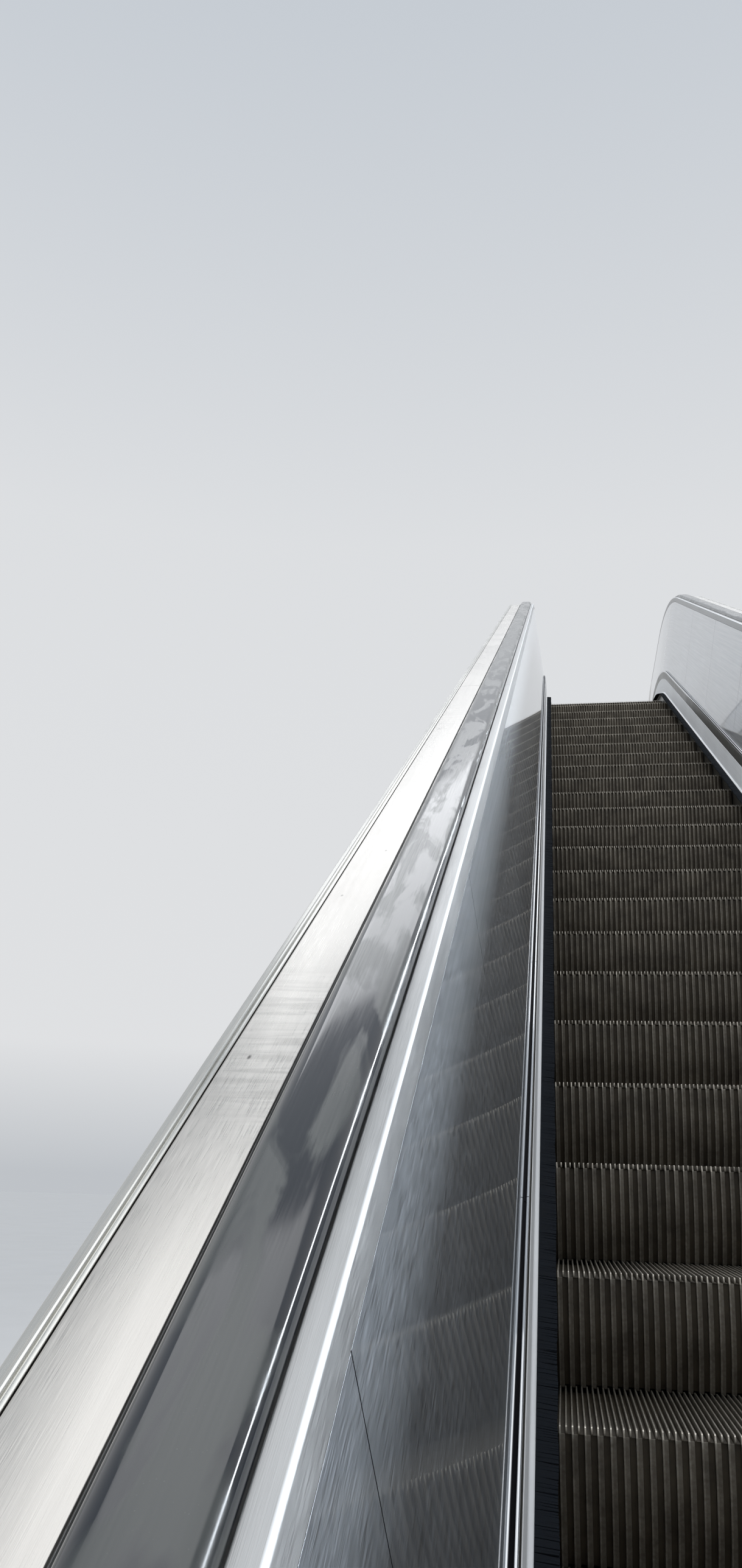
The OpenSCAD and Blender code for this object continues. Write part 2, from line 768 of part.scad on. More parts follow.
// Bearing angles: the level leg rests on the building, the other is fixed to the end plate
module bearing_angle_lower() {
  color("#57554f") translate([-side_x, -bearing_leg / 2, 0]) {
    cube([2 * side_x, bearing_leg - end_plate_t, bearing_t]);
    translate([0, bearing_leg - end_plate_t - bearing_t, 0]) cube([2 * side_x, bearing_t, bearing_back]);
  }
}

module bearing_angle_upper() {
  translate([0, truss_up_y + truss_low_y, rise]) mirror([0, 1, 0]) bearing_angle_lower();
}

steps_lower_landing();
steps_incline();
steps_upper_landing();
comb_lower();
comb_upper();
comb_plate_lower();
comb_plate_upper();
floor_plate_lower();
floor_plate_upper();
skirt_left();
skirt_right();
brush_holder_left();
brush_holder_right();
skirt_brush_left();
skirt_brush_right();
interior_panels_left();
interior_panels_right();
inner_deck_left();
inner_deck_right();
outer_deck_left();
outer_deck_right();
edge_strip_left();
edge_strip_right();
handrail_guide_left();
handrail_guide_right();
handrail_left();
handrail_right();
newel_lower_left();
newel_lower_right();
newel_upper_left();
newel_upper_right();
handrail_inlets_left();
handrail_inlets_right();
side_casing_left();
side_casing_right();
soffit();
truss();
cross_frames();
tracks_left();
tracks_right();
end_plate_lower();
end_plate_upper();
bearing_angle_lower();
bearing_angle_upper();
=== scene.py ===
# %% [markdown]
# # An escalator, dressed over its frame
# The frame holds every solid of the escalator in metres. This lesson lays finished surfaces over it:
# folded steel sheets that follow the run, cleated steps, a moulded handrail and a row of bristles.

# %% Load the frame
import bmesh
import bpy
import numpy as np
from mathutils import Matrix, Vector


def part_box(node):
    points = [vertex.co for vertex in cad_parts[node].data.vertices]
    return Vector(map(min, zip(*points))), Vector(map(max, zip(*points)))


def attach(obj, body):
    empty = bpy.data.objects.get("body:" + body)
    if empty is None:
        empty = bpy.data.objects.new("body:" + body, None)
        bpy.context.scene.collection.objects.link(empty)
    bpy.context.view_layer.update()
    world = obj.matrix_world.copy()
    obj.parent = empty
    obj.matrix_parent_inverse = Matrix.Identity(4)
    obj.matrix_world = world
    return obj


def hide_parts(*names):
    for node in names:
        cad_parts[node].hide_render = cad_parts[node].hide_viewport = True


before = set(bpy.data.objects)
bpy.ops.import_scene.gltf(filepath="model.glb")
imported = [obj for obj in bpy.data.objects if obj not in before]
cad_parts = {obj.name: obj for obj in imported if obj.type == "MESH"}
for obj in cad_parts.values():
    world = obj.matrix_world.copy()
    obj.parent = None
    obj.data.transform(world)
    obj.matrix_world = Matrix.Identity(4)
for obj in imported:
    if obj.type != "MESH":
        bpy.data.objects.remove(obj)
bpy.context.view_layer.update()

# %% [markdown]
# ## The run
# Steps, decks and handrail all follow one line: level, a bend, a straight incline, a second bend, level.
# One could draw a curve and let a modifier carry each profile along it. Here the line is a formula
# instead, because each sheet then knows how far along it is, and its brushed grain can follow it.

# %% Measures of the run
RISE, TILT = 6.57, np.radians(30)          # from floor to floor, and the slope of the incline
LOW_R, UP_R = 2.4, 2.6                     # radii of the lower and the upper bend
LANDING, LEVEL_RUN = 1.5, 0.86             # floor in front of a comb, and level steps behind it
BAYS, TRIM_LENGTHS = 10, 2                 # lengths of panel and of deck along the incline
JOINT, BEND_STEPS = 0.002, 24              # gap between two lengths, and grid steps in a bend
LOW_Z = 0.158                              # height of the step noses at the lower landing
UP_Z = LOW_Z + RISE
COMB_LOW_Y = 0.1 + LANDING
BEND_LOW_Y = COMB_LOW_Y + LEVEL_RUN
LOW_BEND, UP_BEND = LOW_R * TILT, UP_R * TILT
INCLINE = (RISE - (LOW_R + UP_R) * (1 - np.cos(TILT))) / np.sin(TILT)
FOOT_Y, FOOT_Z = BEND_LOW_Y + LOW_R * np.sin(TILT), LOW_Z + LOW_R * (1 - np.cos(TILT))
LEVEL_UP_Y = FOOT_Y + INCLINE * np.cos(TILT) + UP_R * np.sin(TILT)
COMB_UP_Y = LEVEL_UP_Y + LEVEL_RUN
BEND_UP_S, LEVEL_UP_S = LOW_BEND + INCLINE, LOW_BEND + INCLINE + UP_BEND
print("incline", round(float(INCLINE), 4), "m, upper comb line at", round(float(COMB_UP_Y), 4), "m")


# %% The line of the step noses
def on_run(s):
    """Y, Z and slope of the line, s metres past the start of the lower bend. In a bend the slope is
    the length divided by the radius, Y moves by radius times sine and Z by radius times (1 - cosine)."""
    s = np.asarray(s, float)
    low, up = np.clip(s, 0, LOW_BEND) / LOW_R, np.clip(LEVEL_UP_S - s, 0, UP_BEND) / UP_R
    along = s - LOW_BEND
    y = np.where(s < LOW_BEND, BEND_LOW_Y + np.minimum(s, 0) + LOW_R * np.sin(low),
        np.where(s < BEND_UP_S, FOOT_Y + along * np.cos(TILT),
        LEVEL_UP_Y - UP_R * np.sin(up) + np.maximum(s - LEVEL_UP_S, 0)))
    z = np.where(s < LOW_BEND, LOW_Z + LOW_R * (1 - np.cos(low)),
        np.where(s < BEND_UP_S, FOOT_Z + along * np.sin(TILT), UP_Z - UP_R * (1 - np.cos(up))))
    return y, z, np.minimum(low, up)


print("middle of the incline: Y, Z, slope", [round(float(v), 4) for v in on_run(LEVEL_UP_S / 2)])

# %% [markdown]
# ## Surfaces from grids
# A sheet is a small profile repeated at stations along a line. The points form a grid, and four
# neighbours make one face. Each face also gets a place on a flat map, in metres along and across,
# so that a finish can tell the grain of the metal from the direction across it.


# %% Softened corners
def rounded(corners, steps=3):
    """Corners (across, up, radius) softened: each becomes the curve (1-t)^2 A + 2t(1-t) P + t^2 B,
    where A and B lie the radius away from the corner P on its two edges."""
    corners = np.asarray(corners, float)
    p, radius = corners[:, :2], corners[:, 2]
    back, ahead = np.roll(p, 1, 0) - p, np.roll(p, -1, 0) - p
    lb, la = np.linalg.norm(back, axis=1), np.linalg.norm(ahead, axis=1)
    r = np.minimum(radius, 0.45 * np.minimum(lb, la))[:, None]
    a, b = p + back / lb[:, None] * r, p + ahead / la[:, None] * r
    t = np.linspace(0, 1, steps + 1)[None, :, None]
    curve = (1 - t) ** 2 * a[:, None] + 2 * t * (1 - t) * p[:, None] + t ** 2 * b[:, None]
    return curve.reshape(-1, 2)


print("a softened triangle has", len(rounded([(0, 0, 0.1), (1, 0, 0.1), (0, 1, 0.1)])), "points")


# %% One length of a piece
def section_lengths(grid):
    """Distance round the profile of the first station, with the closing step as the last entry."""
    steps = np.linalg.norm(np.roll(grid[0], -1, 0) - grid[0], axis=1)
    return np.concatenate([[0], np.cumsum(steps)])


def grid_part(grid, u, v=None, wear_dirt_and_painted_light=None, closed=False):
    """Stations x profile points, with u along and v across in metres. Point (i, j) is joined to its
    neighbours i + 1 and j + 1. The profile is turned round if it runs clockwise about the way the
    stations go, so that all faces point out."""
    v = section_lengths(grid) if v is None else np.asarray(v, float)
    wear_dirt_and_painted_light = np.zeros(grid.shape[:2]) if wear_dirt_and_painted_light is None else wear_dirt_and_painted_light
    ahead = grid[1].mean(0) - grid[0].mean(0)
    turn = np.cross(grid[0], np.roll(grid[0], -1, 0)).sum(0)
    if turn @ ahead < 0:
        grid, wear_dirt_and_painted_light = grid[:, ::-1], wear_dirt_and_painted_light[:, ::-1]
        v = np.concatenate([v[:-1][::-1], [2 * v[0] - v[1]]])
    m, n = grid.shape[:2]
    i, j = np.arange(m if closed else m - 1)[:, None], np.arange(n)[None, :]
    k, l = (i + 1) % m, (j + 1) % n
    quads = np.stack([i * n + j, i * n + l, k * n + l, k * n + j], -1).reshape(-1, 4)
    u = np.concatenate([u, [2 * u[-1] - u[-2]]])
    map_corners = ((u[i], v[j]), (u[i], v[j + 1]), (u[i + 1], v[j + 1]), (u[i + 1], v[j]))
    flat = np.stack([np.stack(np.broadcast_arrays(a, b), -1) for a, b in map_corners], 2).reshape(-1, 2)
    ends = [] if closed else [np.arange(n)[::-1], (m - 1) * n + np.arange(n)]
    return dict(points=grid.reshape(-1, 3), quads=quads, flat=flat, ends=ends, wear_dirt_and_painted_light=wear_dirt_and_painted_light.reshape(-1))


# %% A piece of the scene
def show(name, mesh, finish, replaces=()):
    """Puts a finished mesh into the scene as a piece that rides on the frame."""
    mesh.materials.clear()
    mesh.materials.append(finish)
    piece = bpy.data.objects.new(name, mesh)
    bpy.context.collection.objects.link(piece)
    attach(piece, "root")
    if replaces:
        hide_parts(*replaces)
    print(f"{name}: {len(mesh.loops) - 2 * len(mesh.polygons)} triangles")
    return piece


def to_mesh(name, parts, finish, sharp=40, replaces=()):
    """All parts in one mesh, written as whole arrays: corners of the faces, where each face starts in
    that list, and the place of each corner on the flat map."""
    base, at, corners, starts, flats = 0, 0, [], [], []
    for p in parts:
        corners.append(p["quads"].ravel() + base)
        starts.append(at + 4 * np.arange(len(p["quads"])))
        flats.append(p["flat"])
        at += p["quads"].size
        for end in p["ends"]:
            corners.append(end + base)
            starts.append([at])
            flats.append(np.zeros((len(end), 2)))
            at += len(end)
        base += len(p["points"])
    corners, starts = np.concatenate(corners), np.concatenate(starts)
    mesh = bpy.data.meshes.new(name)
    mesh.vertices.add(base)
    mesh.vertices.foreach_set("co", np.concatenate([p["points"] for p in parts]).ravel())
    mesh.loops.add(len(corners))
    mesh.loops.foreach_set("vertex_index", corners.astype(np.int32))
    mesh.polygons.add(len(starts))
    mesh.polygons.foreach_set("loop_start", starts.astype(np.int32))
    mesh.update(calc_edges=True)
    mesh.uv_layers.new(name="metres").uv.foreach_set("vector", np.concatenate(flats).ravel())
    wear_dirt_and_painted_light = mesh.attributes.new("wear_dirt_and_painted_light", "FLOAT", "POINT")
    wear_dirt_and_painted_light.data.foreach_set("value", np.concatenate([p["wear_dirt_and_painted_light"] for p in parts]))
    mesh.polygons.foreach_set("use_smooth", np.ones(len(starts), bool))
    mesh.set_sharp_from_angle(angle=np.radians(sharp))
    return show(name, mesh, finish, replaces)


# %% [markdown]
# ## Carrying a profile along the run
# A fitter lays the decks and panels in lengths, with a fine gap at each joint, and a bend is a length
# of its own. One long sheet could be cut afterwards, but separate lengths have closed ends from the
# start. Only a bend needs many stations, because a straight length is right with its two ends.


# %% Lengths of sheet
def carried(profile, s, side=1):
    """Profile points (x across, n over the line) at each s: Y = y - n sin(slope) and
    Z = z + n cos(slope), where y, z and the slope are those of the line."""
    y, z, slope = (v[:, None] for v in on_run(s))
    x, n = np.asarray(profile, float).T
    one = np.ones_like(y)
    return np.stack([side * x * one, y - n * np.sin(slope), z + n * np.cos(slope)], -1)


def run_lengths(y_from, y_to, lengths):
    """Stations of the separate lengths: level, bend, some along the incline, bend, level."""
    each = INCLINE / lengths
    yield np.array([y_from - BEND_LOW_Y + JOINT / 2, -JOINT / 2])
    yield np.linspace(0, LOW_BEND, BEND_STEPS + 1)
    for k in range(lengths):
        yield LOW_BEND + each * np.array([k, k + 1]) + [JOINT / 2, -JOINT / 2]
    yield np.linspace(BEND_UP_S, LEVEL_UP_S, BEND_STEPS + 1)
    yield LEVEL_UP_S + np.array([JOINT / 2, y_to - LEVEL_UP_Y - JOINT / 2])


def sheet(name, profile, y_from, y_to, finish, replaces, side, lengths, wear_dirt_and_painted_light=None):
    """One profile carried over all the lengths. Each row of the profile keeps its value of dirt and
    painted light all along.
    """
    wear_dirt_and_painted_light = np.zeros(len(profile)) if wear_dirt_and_painted_light is None else wear_dirt_and_painted_light
    parts = [grid_part(carried(profile, s, side), s, wear_dirt_and_painted_light=np.tile(wear_dirt_and_painted_light, (len(s), 1)))
        for s in run_lengths(y_from, y_to, lengths)]
    return to_mesh(name, parts, finish, replaces=replaces)


print("stations of a deck", [len(s) for s in run_lengths(0, COMB_UP_Y, TRIM_LENGTHS)])

# %% [markdown]
# ## Finishes
# Brushed steel is a mirror crossed by thousands of fine scratches that all run one way. A picture of
# scratches would blur close up, so stretched noise makes them: long along the grain, tiny across it.


# %% Node helpers
class Finish:
    """A material whose nodes are added by short calls."""

    def __init__(self, name, colour, rough, metal=0.0, **sockets):
        self.mat = bpy.data.materials.new(name)
        self.mat.use_nodes = True
        self.nodes, self.links = self.mat.node_tree.nodes, self.mat.node_tree.links
        self.shader = self.nodes["Principled BSDF"]
        self.shader.inputs["Base Color"].default_value = (*colour, 1)
        self.shader.inputs["Roughness"].default_value = rough
        self.shader.inputs["Metallic"].default_value = metal
        for key, value in sockets.items():
            self.shader.inputs[key.replace("_", " ")].default_value = value

    def node(self, kind, out=0, inputs=None, **props):
        """A new node: its settings, then its inputs, each linked or set. Gives one output."""
        n = self.nodes.new("ShaderNode" + kind)
        for key, value in props.items():
            setattr(n, key, value)
        for key, value in (inputs or {}).items():
            if isinstance(value, bpy.types.NodeSocket):
                self.links.new(value, n.inputs[key])
            else:
                n.inputs[key].default_value = value
        return n.outputs[out]

    def place(self, stretch, on="metres"):
        """Coordinates of the surface in metres, stretched: the flat map, or the object's own space."""
        where = self.node("TexCoord", out=3) if on == "object" else self.node("UVMap", uv_map=on)
        stretch = stretch if isinstance(stretch, tuple) else (stretch,) * 3
        return self.node("Mapping", inputs={0: where, 3: stretch})

    def noise(self, where, detail=3.0, rough=0.55, warp=0.0, scale=1.0):
        """Cloudy noise from 0 to 1, with finer layers, their share, and how much it folds on itself."""
        return self.node("TexNoise", inputs={"Vector": where, "Scale": scale, "Detail": detail,
            "Roughness": rough, "Distortion": warp})

    def cells(self, where, scale):
        """Distance to the nearest of many scattered points, for specks and dents."""
        return self.node("TexVoronoi", inputs={"Vector": where, "Scale": scale})

    def spread(self, value, low, high, to_low=0.0, to_high=1.0):
        """The range from low to high stretched over another range, and cut off at its ends."""
        return self.node("MapRange", inputs={0: value, 1: low, 2: high, 3: to_low, 4: to_high})

    def math(self, kind, a, b=0.0):
        return self.node("Math", operation=kind, inputs={0: a, 1: b})

    def blend(self, amount, a, b, kind="MIX"):
        """Colour a turned into colour b by an amount from 0 to 1."""
        a, b = (c if isinstance(c, bpy.types.NodeSocket) else (*c, 1) for c in (a, b))
        return self.node("Mix", 2, {0: amount, 6: a, 7: b}, data_type="RGBA", blend_type=kind)

    def bump(self, height, strength, depth, under=None):
        inputs = {"Height": height, "Strength": strength, "Distance": depth}
        if under is not None:
            inputs["Normal"] = under
        return self.node("Bump", inputs=inputs)

    def set(self, **sockets):
        """Links the shader's sockets to the outputs that are given."""
        for key, value in sockets.items():
            self.links.new(value, self.shader.inputs[key.replace("_", " ")])
        return self


# %% What dirt, painted shade and painted highlights do to a steel
# The first colour is near black: dirt in a joint and painted shade in a groove. The second is painted
# shade in a dent.
SOIL_AND_SHADE, DENT_SHADE = (0.018, 0.018, 0.022), (0.05, 0.045, 0.04)


def wipe(f, tone, amount, on):
    """Marks across the grain: stretched noise is added to the tone where a broad noise is high."""
    marks = f.noise(f.place((75, 7, 1), on), 3.0, 0.6, 1.0)
    where = f.spread(f.noise(f.place((1.3, 3.5, 1), on), 1.0), 0.55, 0.64, 0.0, amount)
    return f.math("ADD", tone, f.math("MULTIPLY", where, f.spread(marks, 0.4, 0.6, -0.10, 0.10)))


def rows_of_dirt_and_painted_light(f, colour, rough, painted_highlight, coated):
    """Rows above 0 turn to the highlight colour, a painted highlight. Rows below 0 darken towards near
    black, dull and without coat: dirt in a joint, painted shade in a groove.
    """
    # Rows above 0 get a painted highlight. Rows below 0 get dirt in a joint or painted shade in a
    # groove, and lose their coat so no reflection lightens them.
    fold = f.node("Attribute", out=2, attribute_name="wear_dirt_and_painted_light")
    soiled_and_shaded = f.math("MULTIPLY", fold, -1.0)
    if coated:
        f.set(Coat_Weight=f.spread(fold, -1.0, 0.0))
    colour = f.blend(soiled_and_shaded, f.blend(fold, colour, painted_highlight), SOIL_AND_SHADE)
    return colour, f.math("MAXIMUM", rough, f.math("MULTIPLY", soiled_and_shaded, 0.7))


def dent(f, colour, normal, amount, on):
    """Small dents: the middles of scattered cells, kept only where a second noise is high. Each is
    pressed in by a bump and painted dark, and that dark colour is painted shade.
    """
    spots = f.cells(f.place((0.4, 1, 1), on), 38.0)
    rare = f.noise(f.place(1, on), 0.0, scale=21.0)
    pit = f.math("MULTIPLY", f.spread(spots, 0.03, 0.10, 1.0, 0.0), f.spread(rare, 0.55, 0.61))
    # The dark colour in a dent is painted shade.
    colour = f.blend(f.math("MULTIPLY", pit, amount), colour, DENT_SHADE)
    return colour, f.bump(pit, -0.5 * amount, 0.001, normal)


# %% Brushed steel
HAIRLINES = {"metres": (22, 1100, 1), "object": (600, 14, 600)}
STREAKS = {"metres": (1.6, 90, 1), "object": (90, 1.6, 90)}


def brushed(name, colour, rough, grain=0.5, streak=0.04, smear=0.25, anis=0.5, metal=1.0, painted_highlight=None,
        wave=0.0, dents=0.0, wiped=0.0, on="metres", **sockets):
    """Steel with its grain along u, or along Y on object coordinates. Its tone is a sum: hairlines
    times grain, broad streaks times streak, and a cloud about 1. The cloud times smear also dulls it."""
    f = Finish(name, colour, rough, metal, Anisotropic=anis, Anisotropic_Rotation=0.25, **sockets)
    fine = f.noise(f.place(HAIRLINES[on], on), 2.0)
    broad = f.noise(f.place(STREAKS[on], on), 3.0)
    cloud = f.noise(f.place(2.5, on), 4.0, 0.6)
    tone = f.math("ADD", f.spread(fine, 0.3, 0.7, -0.10 * grain, 0.10 * grain),
        f.spread(broad, 0.3, 0.7, -streak, streak))
    tone = f.math("ADD", tone, f.spread(cloud, 0.3, 0.7, 0.92, 1.04))
    if wiped:
        tone = wipe(f, tone, wiped, on)
    shade = f.node("CombineColor", inputs={0: tone, 1: tone, 2: f.math("MULTIPLY", tone, 0.99)})
    shaded = f.blend(1.0, colour, shade, "MULTIPLY")
    dull = f.math("ADD", f.spread(fine, 0.25, 0.75, rough - 0.07 * grain, rough + 0.09 * grain),
        f.spread(cloud, 0.4, 0.75, 0.0, smear * 0.35))
    # Chosen rows of the profile get a painted highlight, dirt or painted shade.
    if painted_highlight:
        shaded, dull = rows_of_dirt_and_painted_light(f, shaded, dull, painted_highlight, "Coat_Weight" in sockets)
    normal = f.bump(fine, 0.12 * grain, 0.0006)
    if wave:
        normal = f.bump(f.noise(f.place((1.1, 3.2, 2.0), on), 1.0), wave, 0.004, normal)
    if dents:
        shaded, normal = dent(f, shaded, normal, dents, on)
    f.set(Base_Color=shaded, Roughness=dull, Normal=normal)
    if on == "metres":
        f.set(Tangent=f.node("Tangent", direction_type="UV_MAP", uv_map=on))
    return f.mat


# %% [markdown]
# ## The steels of this escalator
# All of it is stainless steel, yet no two sheets look alike. The panels have a near mirror over a
# coarse grain, which a coat gives. The decks are scratched, dented and wiped, and the skirt is dark.
# One function with a few amounts keeps them a family, where separate node trees would drift apart.

# %% Steels
panel_finish = brushed("panel_brushed_steel", (0.38, 0.405, 0.44), rough=0.40, grain=2.0, streak=0.12,
    smear=0.1, painted_highlight=(0.62, 0.61, 0.59), Coat_Weight=1.0, Coat_Roughness=0.025, Coat_IOR=3.9)
# The inner deck's pale blue colour is a painted highlight on the fold at the top of its nose.
inner_finish = brushed("inner_deck_steel", (0.43, 0.435, 0.44), rough=0.40, grain=1.6, streak=0.08,
    anis=0.8, painted_highlight=(0.80, 0.82, 0.85))
deck_finish = brushed("deck_brushed_steel", (0.55, 0.53, 0.505), rough=0.29, grain=1.0, dents=0.9,
    wiped=1.0)
edge_finish = brushed("edge_steel", (0.60, 0.595, 0.57), rough=0.22)
newel_finish = brushed("newel_brushed_steel", (0.58, 0.57, 0.55), rough=0.27, grain=0.3, smear=0.1,
    anis=0.0, on="object")
skirt_finish = brushed("skirt_dark_steel", (0.17, 0.17, 0.16), rough=0.34, grain=0.6, anis=0.3)
holder_finish = brushed("holder_aluminium", (0.92, 0.93, 0.95), rough=0.42, grain=0.15, smear=0.1,
    anis=0.0, metal=0.0)
casing_finish = brushed("casing_steel", (0.52, 0.515, 0.50), rough=0.40, anis=0.0, wave=0.05,
    on="object")
print("steels", [m.name for m in bpy.data.materials])

# %% [markdown]
# ## Rubber, castings and paint
# Hands polish the rubber and leave a film on it, shoes wear the crests of the cleats to bare metal,
# and dirt stays in every groove. Each finish mixes a clean and a soiled colour, and what tells them
# apart is a noise, a wave across the ribs, or the wear that the mesh itself carries.


# %% Rubber
FINE_DEPTH = 0.0004        # height of scuffs on rubber, and of grit on castings, plates and paint


def rubber():
    """Moulded rubber, glossy from years of hands: a thin film in patches, fine scuffs and specks."""
    f = Finish("handrail_rubber", (0.022, 0.022, 0.024), 0.14, Specular_IOR_Level=0.65)
    scuff = f.noise(f.place((9, 500, 1)), 2.0)
    film = f.noise(f.place((4.5, 24, 1)), 4.0, 0.5, 0.8)
    patches = f.spread(film, 0.45, 0.55)
    specks = f.spread(f.cells(f.place(1), 210.0), 0.0, 0.13, 1.0, 0.0)
    dust = f.math("MULTIPLY", specks, f.spread(film, 0.50, 0.66))
    colour = f.blend(patches, (0.013, 0.016, 0.022), (0.046, 0.052, 0.051))
    colour = f.blend(f.math("MULTIPLY", dust, 0.4), colour, (0.17, 0.17, 0.17))
    rough = f.math("ADD", f.spread(scuff, 0.35, 0.75, 0.06, 0.12), f.math("MULTIPLY", patches, 0.15))
    return f.set(Base_Color=colour, Roughness=rough, Normal=f.bump(scuff, 0.015, FINE_DEPTH)).mat


# %% Castings
def cleats():
    """Cast tread: dark in the grooves, dulled on the crests, rubbed to bare metal round the nosing."""
    f = Finish("step_cleats", (0.10, 0.095, 0.08), 0.45, 0.7)
    wear_dirt_and_painted_light = f.node("Attribute", out=2, attribute_name="wear_dirt_and_painted_light")
    patch = f.noise(f.place(14, "object"), 4.0, 0.65)
    fine = f.noise(f.place(160, "object"), 2.0)
    dirt = f.blend(f.spread(patch, 0.3, 0.7), (0.042, 0.033, 0.022), (0.088, 0.071, 0.047))
    metal = f.blend(f.spread(fine, 0.3, 0.7), (0.47, 0.43, 0.36), (0.73, 0.69, 0.61))
    amount = f.math("MULTIPLY", wear_dirt_and_painted_light, f.spread(patch, 0.28, 0.62, 0.55, 1.15))
    amount = f.spread(amount, 0.05, 0.95)
    return f.set(Base_Color=f.blend(amount, dirt, metal), Normal=f.bump(fine, 0.25, FINE_DEPTH),
        Roughness=f.spread(amount, 0.0, 1.0, 0.62, 0.34),
        Metallic=f.spread(amount, 0.0, 1.0, 0.25, 0.95)).mat


def ribbed(name, colour, rough, pitch):
    """Floor metal with ribs: dirt lies where sin(2 pi x / pitch) is low, between the ribs."""
    f = Finish(name, colour, rough, 0.9)
    x = f.node("SeparateXYZ", inputs={0: f.place(1, "object")})
    line = f.math("SINE", f.math("MULTIPLY", x, 2 * np.pi / pitch))
    rib = f.spread(line, -0.2, 0.3)
    grit = f.noise(f.place(260, "object"), 2.0)
    patch = f.noise(f.place(4, "object"), 5.0, 0.6)
    dirt = f.math("MULTIPLY", f.math("SUBTRACT", 1.0, rib), f.spread(patch, 0.3, 0.7, 0.55, 1.0))
    tone = f.blend(f.spread(patch, 0.3, 0.75), tuple(0.8 * c for c in colour), colour)
    dull = f.math("ADD", f.spread(patch, 0.3, 0.7, rough - 0.06, rough + 0.1),
        f.math("MULTIPLY", dirt, 0.2))
    return f.set(Base_Color=f.blend(dirt, tone, (0.045, 0.042, 0.036)), Roughness=dull,
        Normal=f.bump(grit, 0.2, FINE_DEPTH)).mat


# %% Plain coats
def plain(name, colour, rough, metal=0.0, scale=6.0, vary=0.25, dust=0.0, **sockets):
    """A plain coat with cloudy variation, fine orange-peel and a little dust."""
    f = Finish(name, colour, rough, metal, **sockets)
    patch = f.noise(f.place(scale, "object"), 5.0, 0.6)
    fine = f.noise(f.place(220, "object"), 2.0)
    tone = f.blend(f.spread(patch, 0.3, 0.7), tuple(c * (1 - vary) for c in colour), colour)
    if dust:
        tone = f.blend(f.math("MULTIPLY", f.spread(patch, 0.5, 0.75), dust), tone, (0.30, 0.27, 0.23))
    return f.set(Base_Color=tone, Roughness=f.spread(patch, 0.3, 0.7, rough - 0.06, rough + 0.08),
        Normal=f.bump(fine, 0.2, FINE_DEPTH)).mat


# %% Rubber, castings and paint of this escalator
PLATE_RIBS, FLOOR_RIBS = 0.012, 0.018      # pitch of the ribs on comb plates and on floor plates
rubber_finish = rubber()
cleat_finish = cleats()
comb_finish = plain("comb_cast_aluminium", (0.52, 0.50, 0.45), 0.36, 0.9, scale=30, vary=0.35)
comb_plate_finish = ribbed("comb_plate_ribs", (0.50, 0.49, 0.46), 0.36, PLATE_RIBS)
floor_finish = ribbed("floor_plate_ribs", (0.40, 0.39, 0.37), 0.40, FLOOR_RIBS)
bristle_finish = plain("brush_bristles", (0.013, 0.016, 0.021), 0.9, scale=40, Specular_IOR_Level=0.1)
inlet_finish = plain("inlet_rubber", (0.03, 0.03, 0.031), 0.6, scale=20)
guide_finish = plain("guide_steel", (0.20, 0.195, 0.185), 0.45, 0.8, dust=0.3)
truss_finish = plain("truss_paint", (0.145, 0.14, 0.13), 0.55, scale=3, dust=0.35)
print("finishes", len(bpy.data.materials))

# %% [markdown]
# ## Skirts, interior panels and decks
# The balustrade is folded from steel sheet, so its faces are flat and its folds have a small radius.
# Each profile is drawn once as corner points, softened, and carried along the run in lengths.

# %% Where the sheets lie across
STEP_W, SKIRT_X, LEAN, SHEET = 1.0, 0.504, 0.087, 0.004     # LEAN: how far a panel leans outwards
SKIRT_LOW, SKIRT_TOP, DECK, NOSE_H = 0.240, 0.250, 0.868, 0.038
FOOT_W, FOOT_H = 0.0147, 0.012                              # foot of a panel, on the skirt
BEAD_W, BEAD_H, GROOVE_W, GROOVE_D = 0.0042, 0.002, 0.0055, 0.008
TOP_X = SKIRT_X + LEAN
TROUGH_X, TROUGH_W, TROUGH_D = TOP_X + 0.0215, 0.0885, 0.015
OUTER_X = TROUGH_X + TROUGH_W                               # the outer deck starts here
EDGE_X, SIDE_X, EDGE_H = OUTER_X + 0.071, OUTER_X + 0.092, 0.040
RAIL_W, RAIL_H, RAIL_TOP = 0.080, 0.034, 0.889
RAIL_X = TROUGH_X + 0.001 + RAIL_W / 2
PANEL_EDGE, TROUGH_N = DECK - NOSE_H, DECK - TROUGH_D
FOOT_X, FOOT_N = SKIRT_X + FOOT_W, SKIRT_TOP - FOOT_H
EDGE_PX = FOOT_X + (PANEL_EDGE - SKIRT_TOP) * (TOP_X - FOOT_X) / (DECK - SKIRT_TOP)
BEAD_X = SKIRT_X + BEAD_W
GROOVE_X, GROOVE_N = BEAD_X + GROOVE_W, SKIRT_TOP - GROOVE_D
print("a panel leans from", round(FOOT_X, 4), "to", round(EDGE_PX, 4), "m, side at", round(SIDE_X, 4))

# %% Where the newels stand
NEWEL_N = 0.568            # a newel's middle over the line of the noses
REACH = 0.700              # how far the handrail reaches past a comb
TO_JOINT = 0.240           # from a newel's middle to the first joint of the sheets
NEWEL_LOW_Y = COMB_LOW_Y - REACH + RAIL_TOP - NEWEL_N
NEWEL_UP_Y = COMB_UP_Y + REACH - RAIL_TOP + NEWEL_N
JOINT_LOW_Y, JOINT_UP_Y = NEWEL_LOW_Y + TO_JOINT, NEWEL_UP_Y - TO_JOINT
SIDES = ((-1, "left"), (1, "right"))
print("newels turn about", round(NEWEL_LOW_Y, 4), round(float(NEWEL_UP_Y), 4))

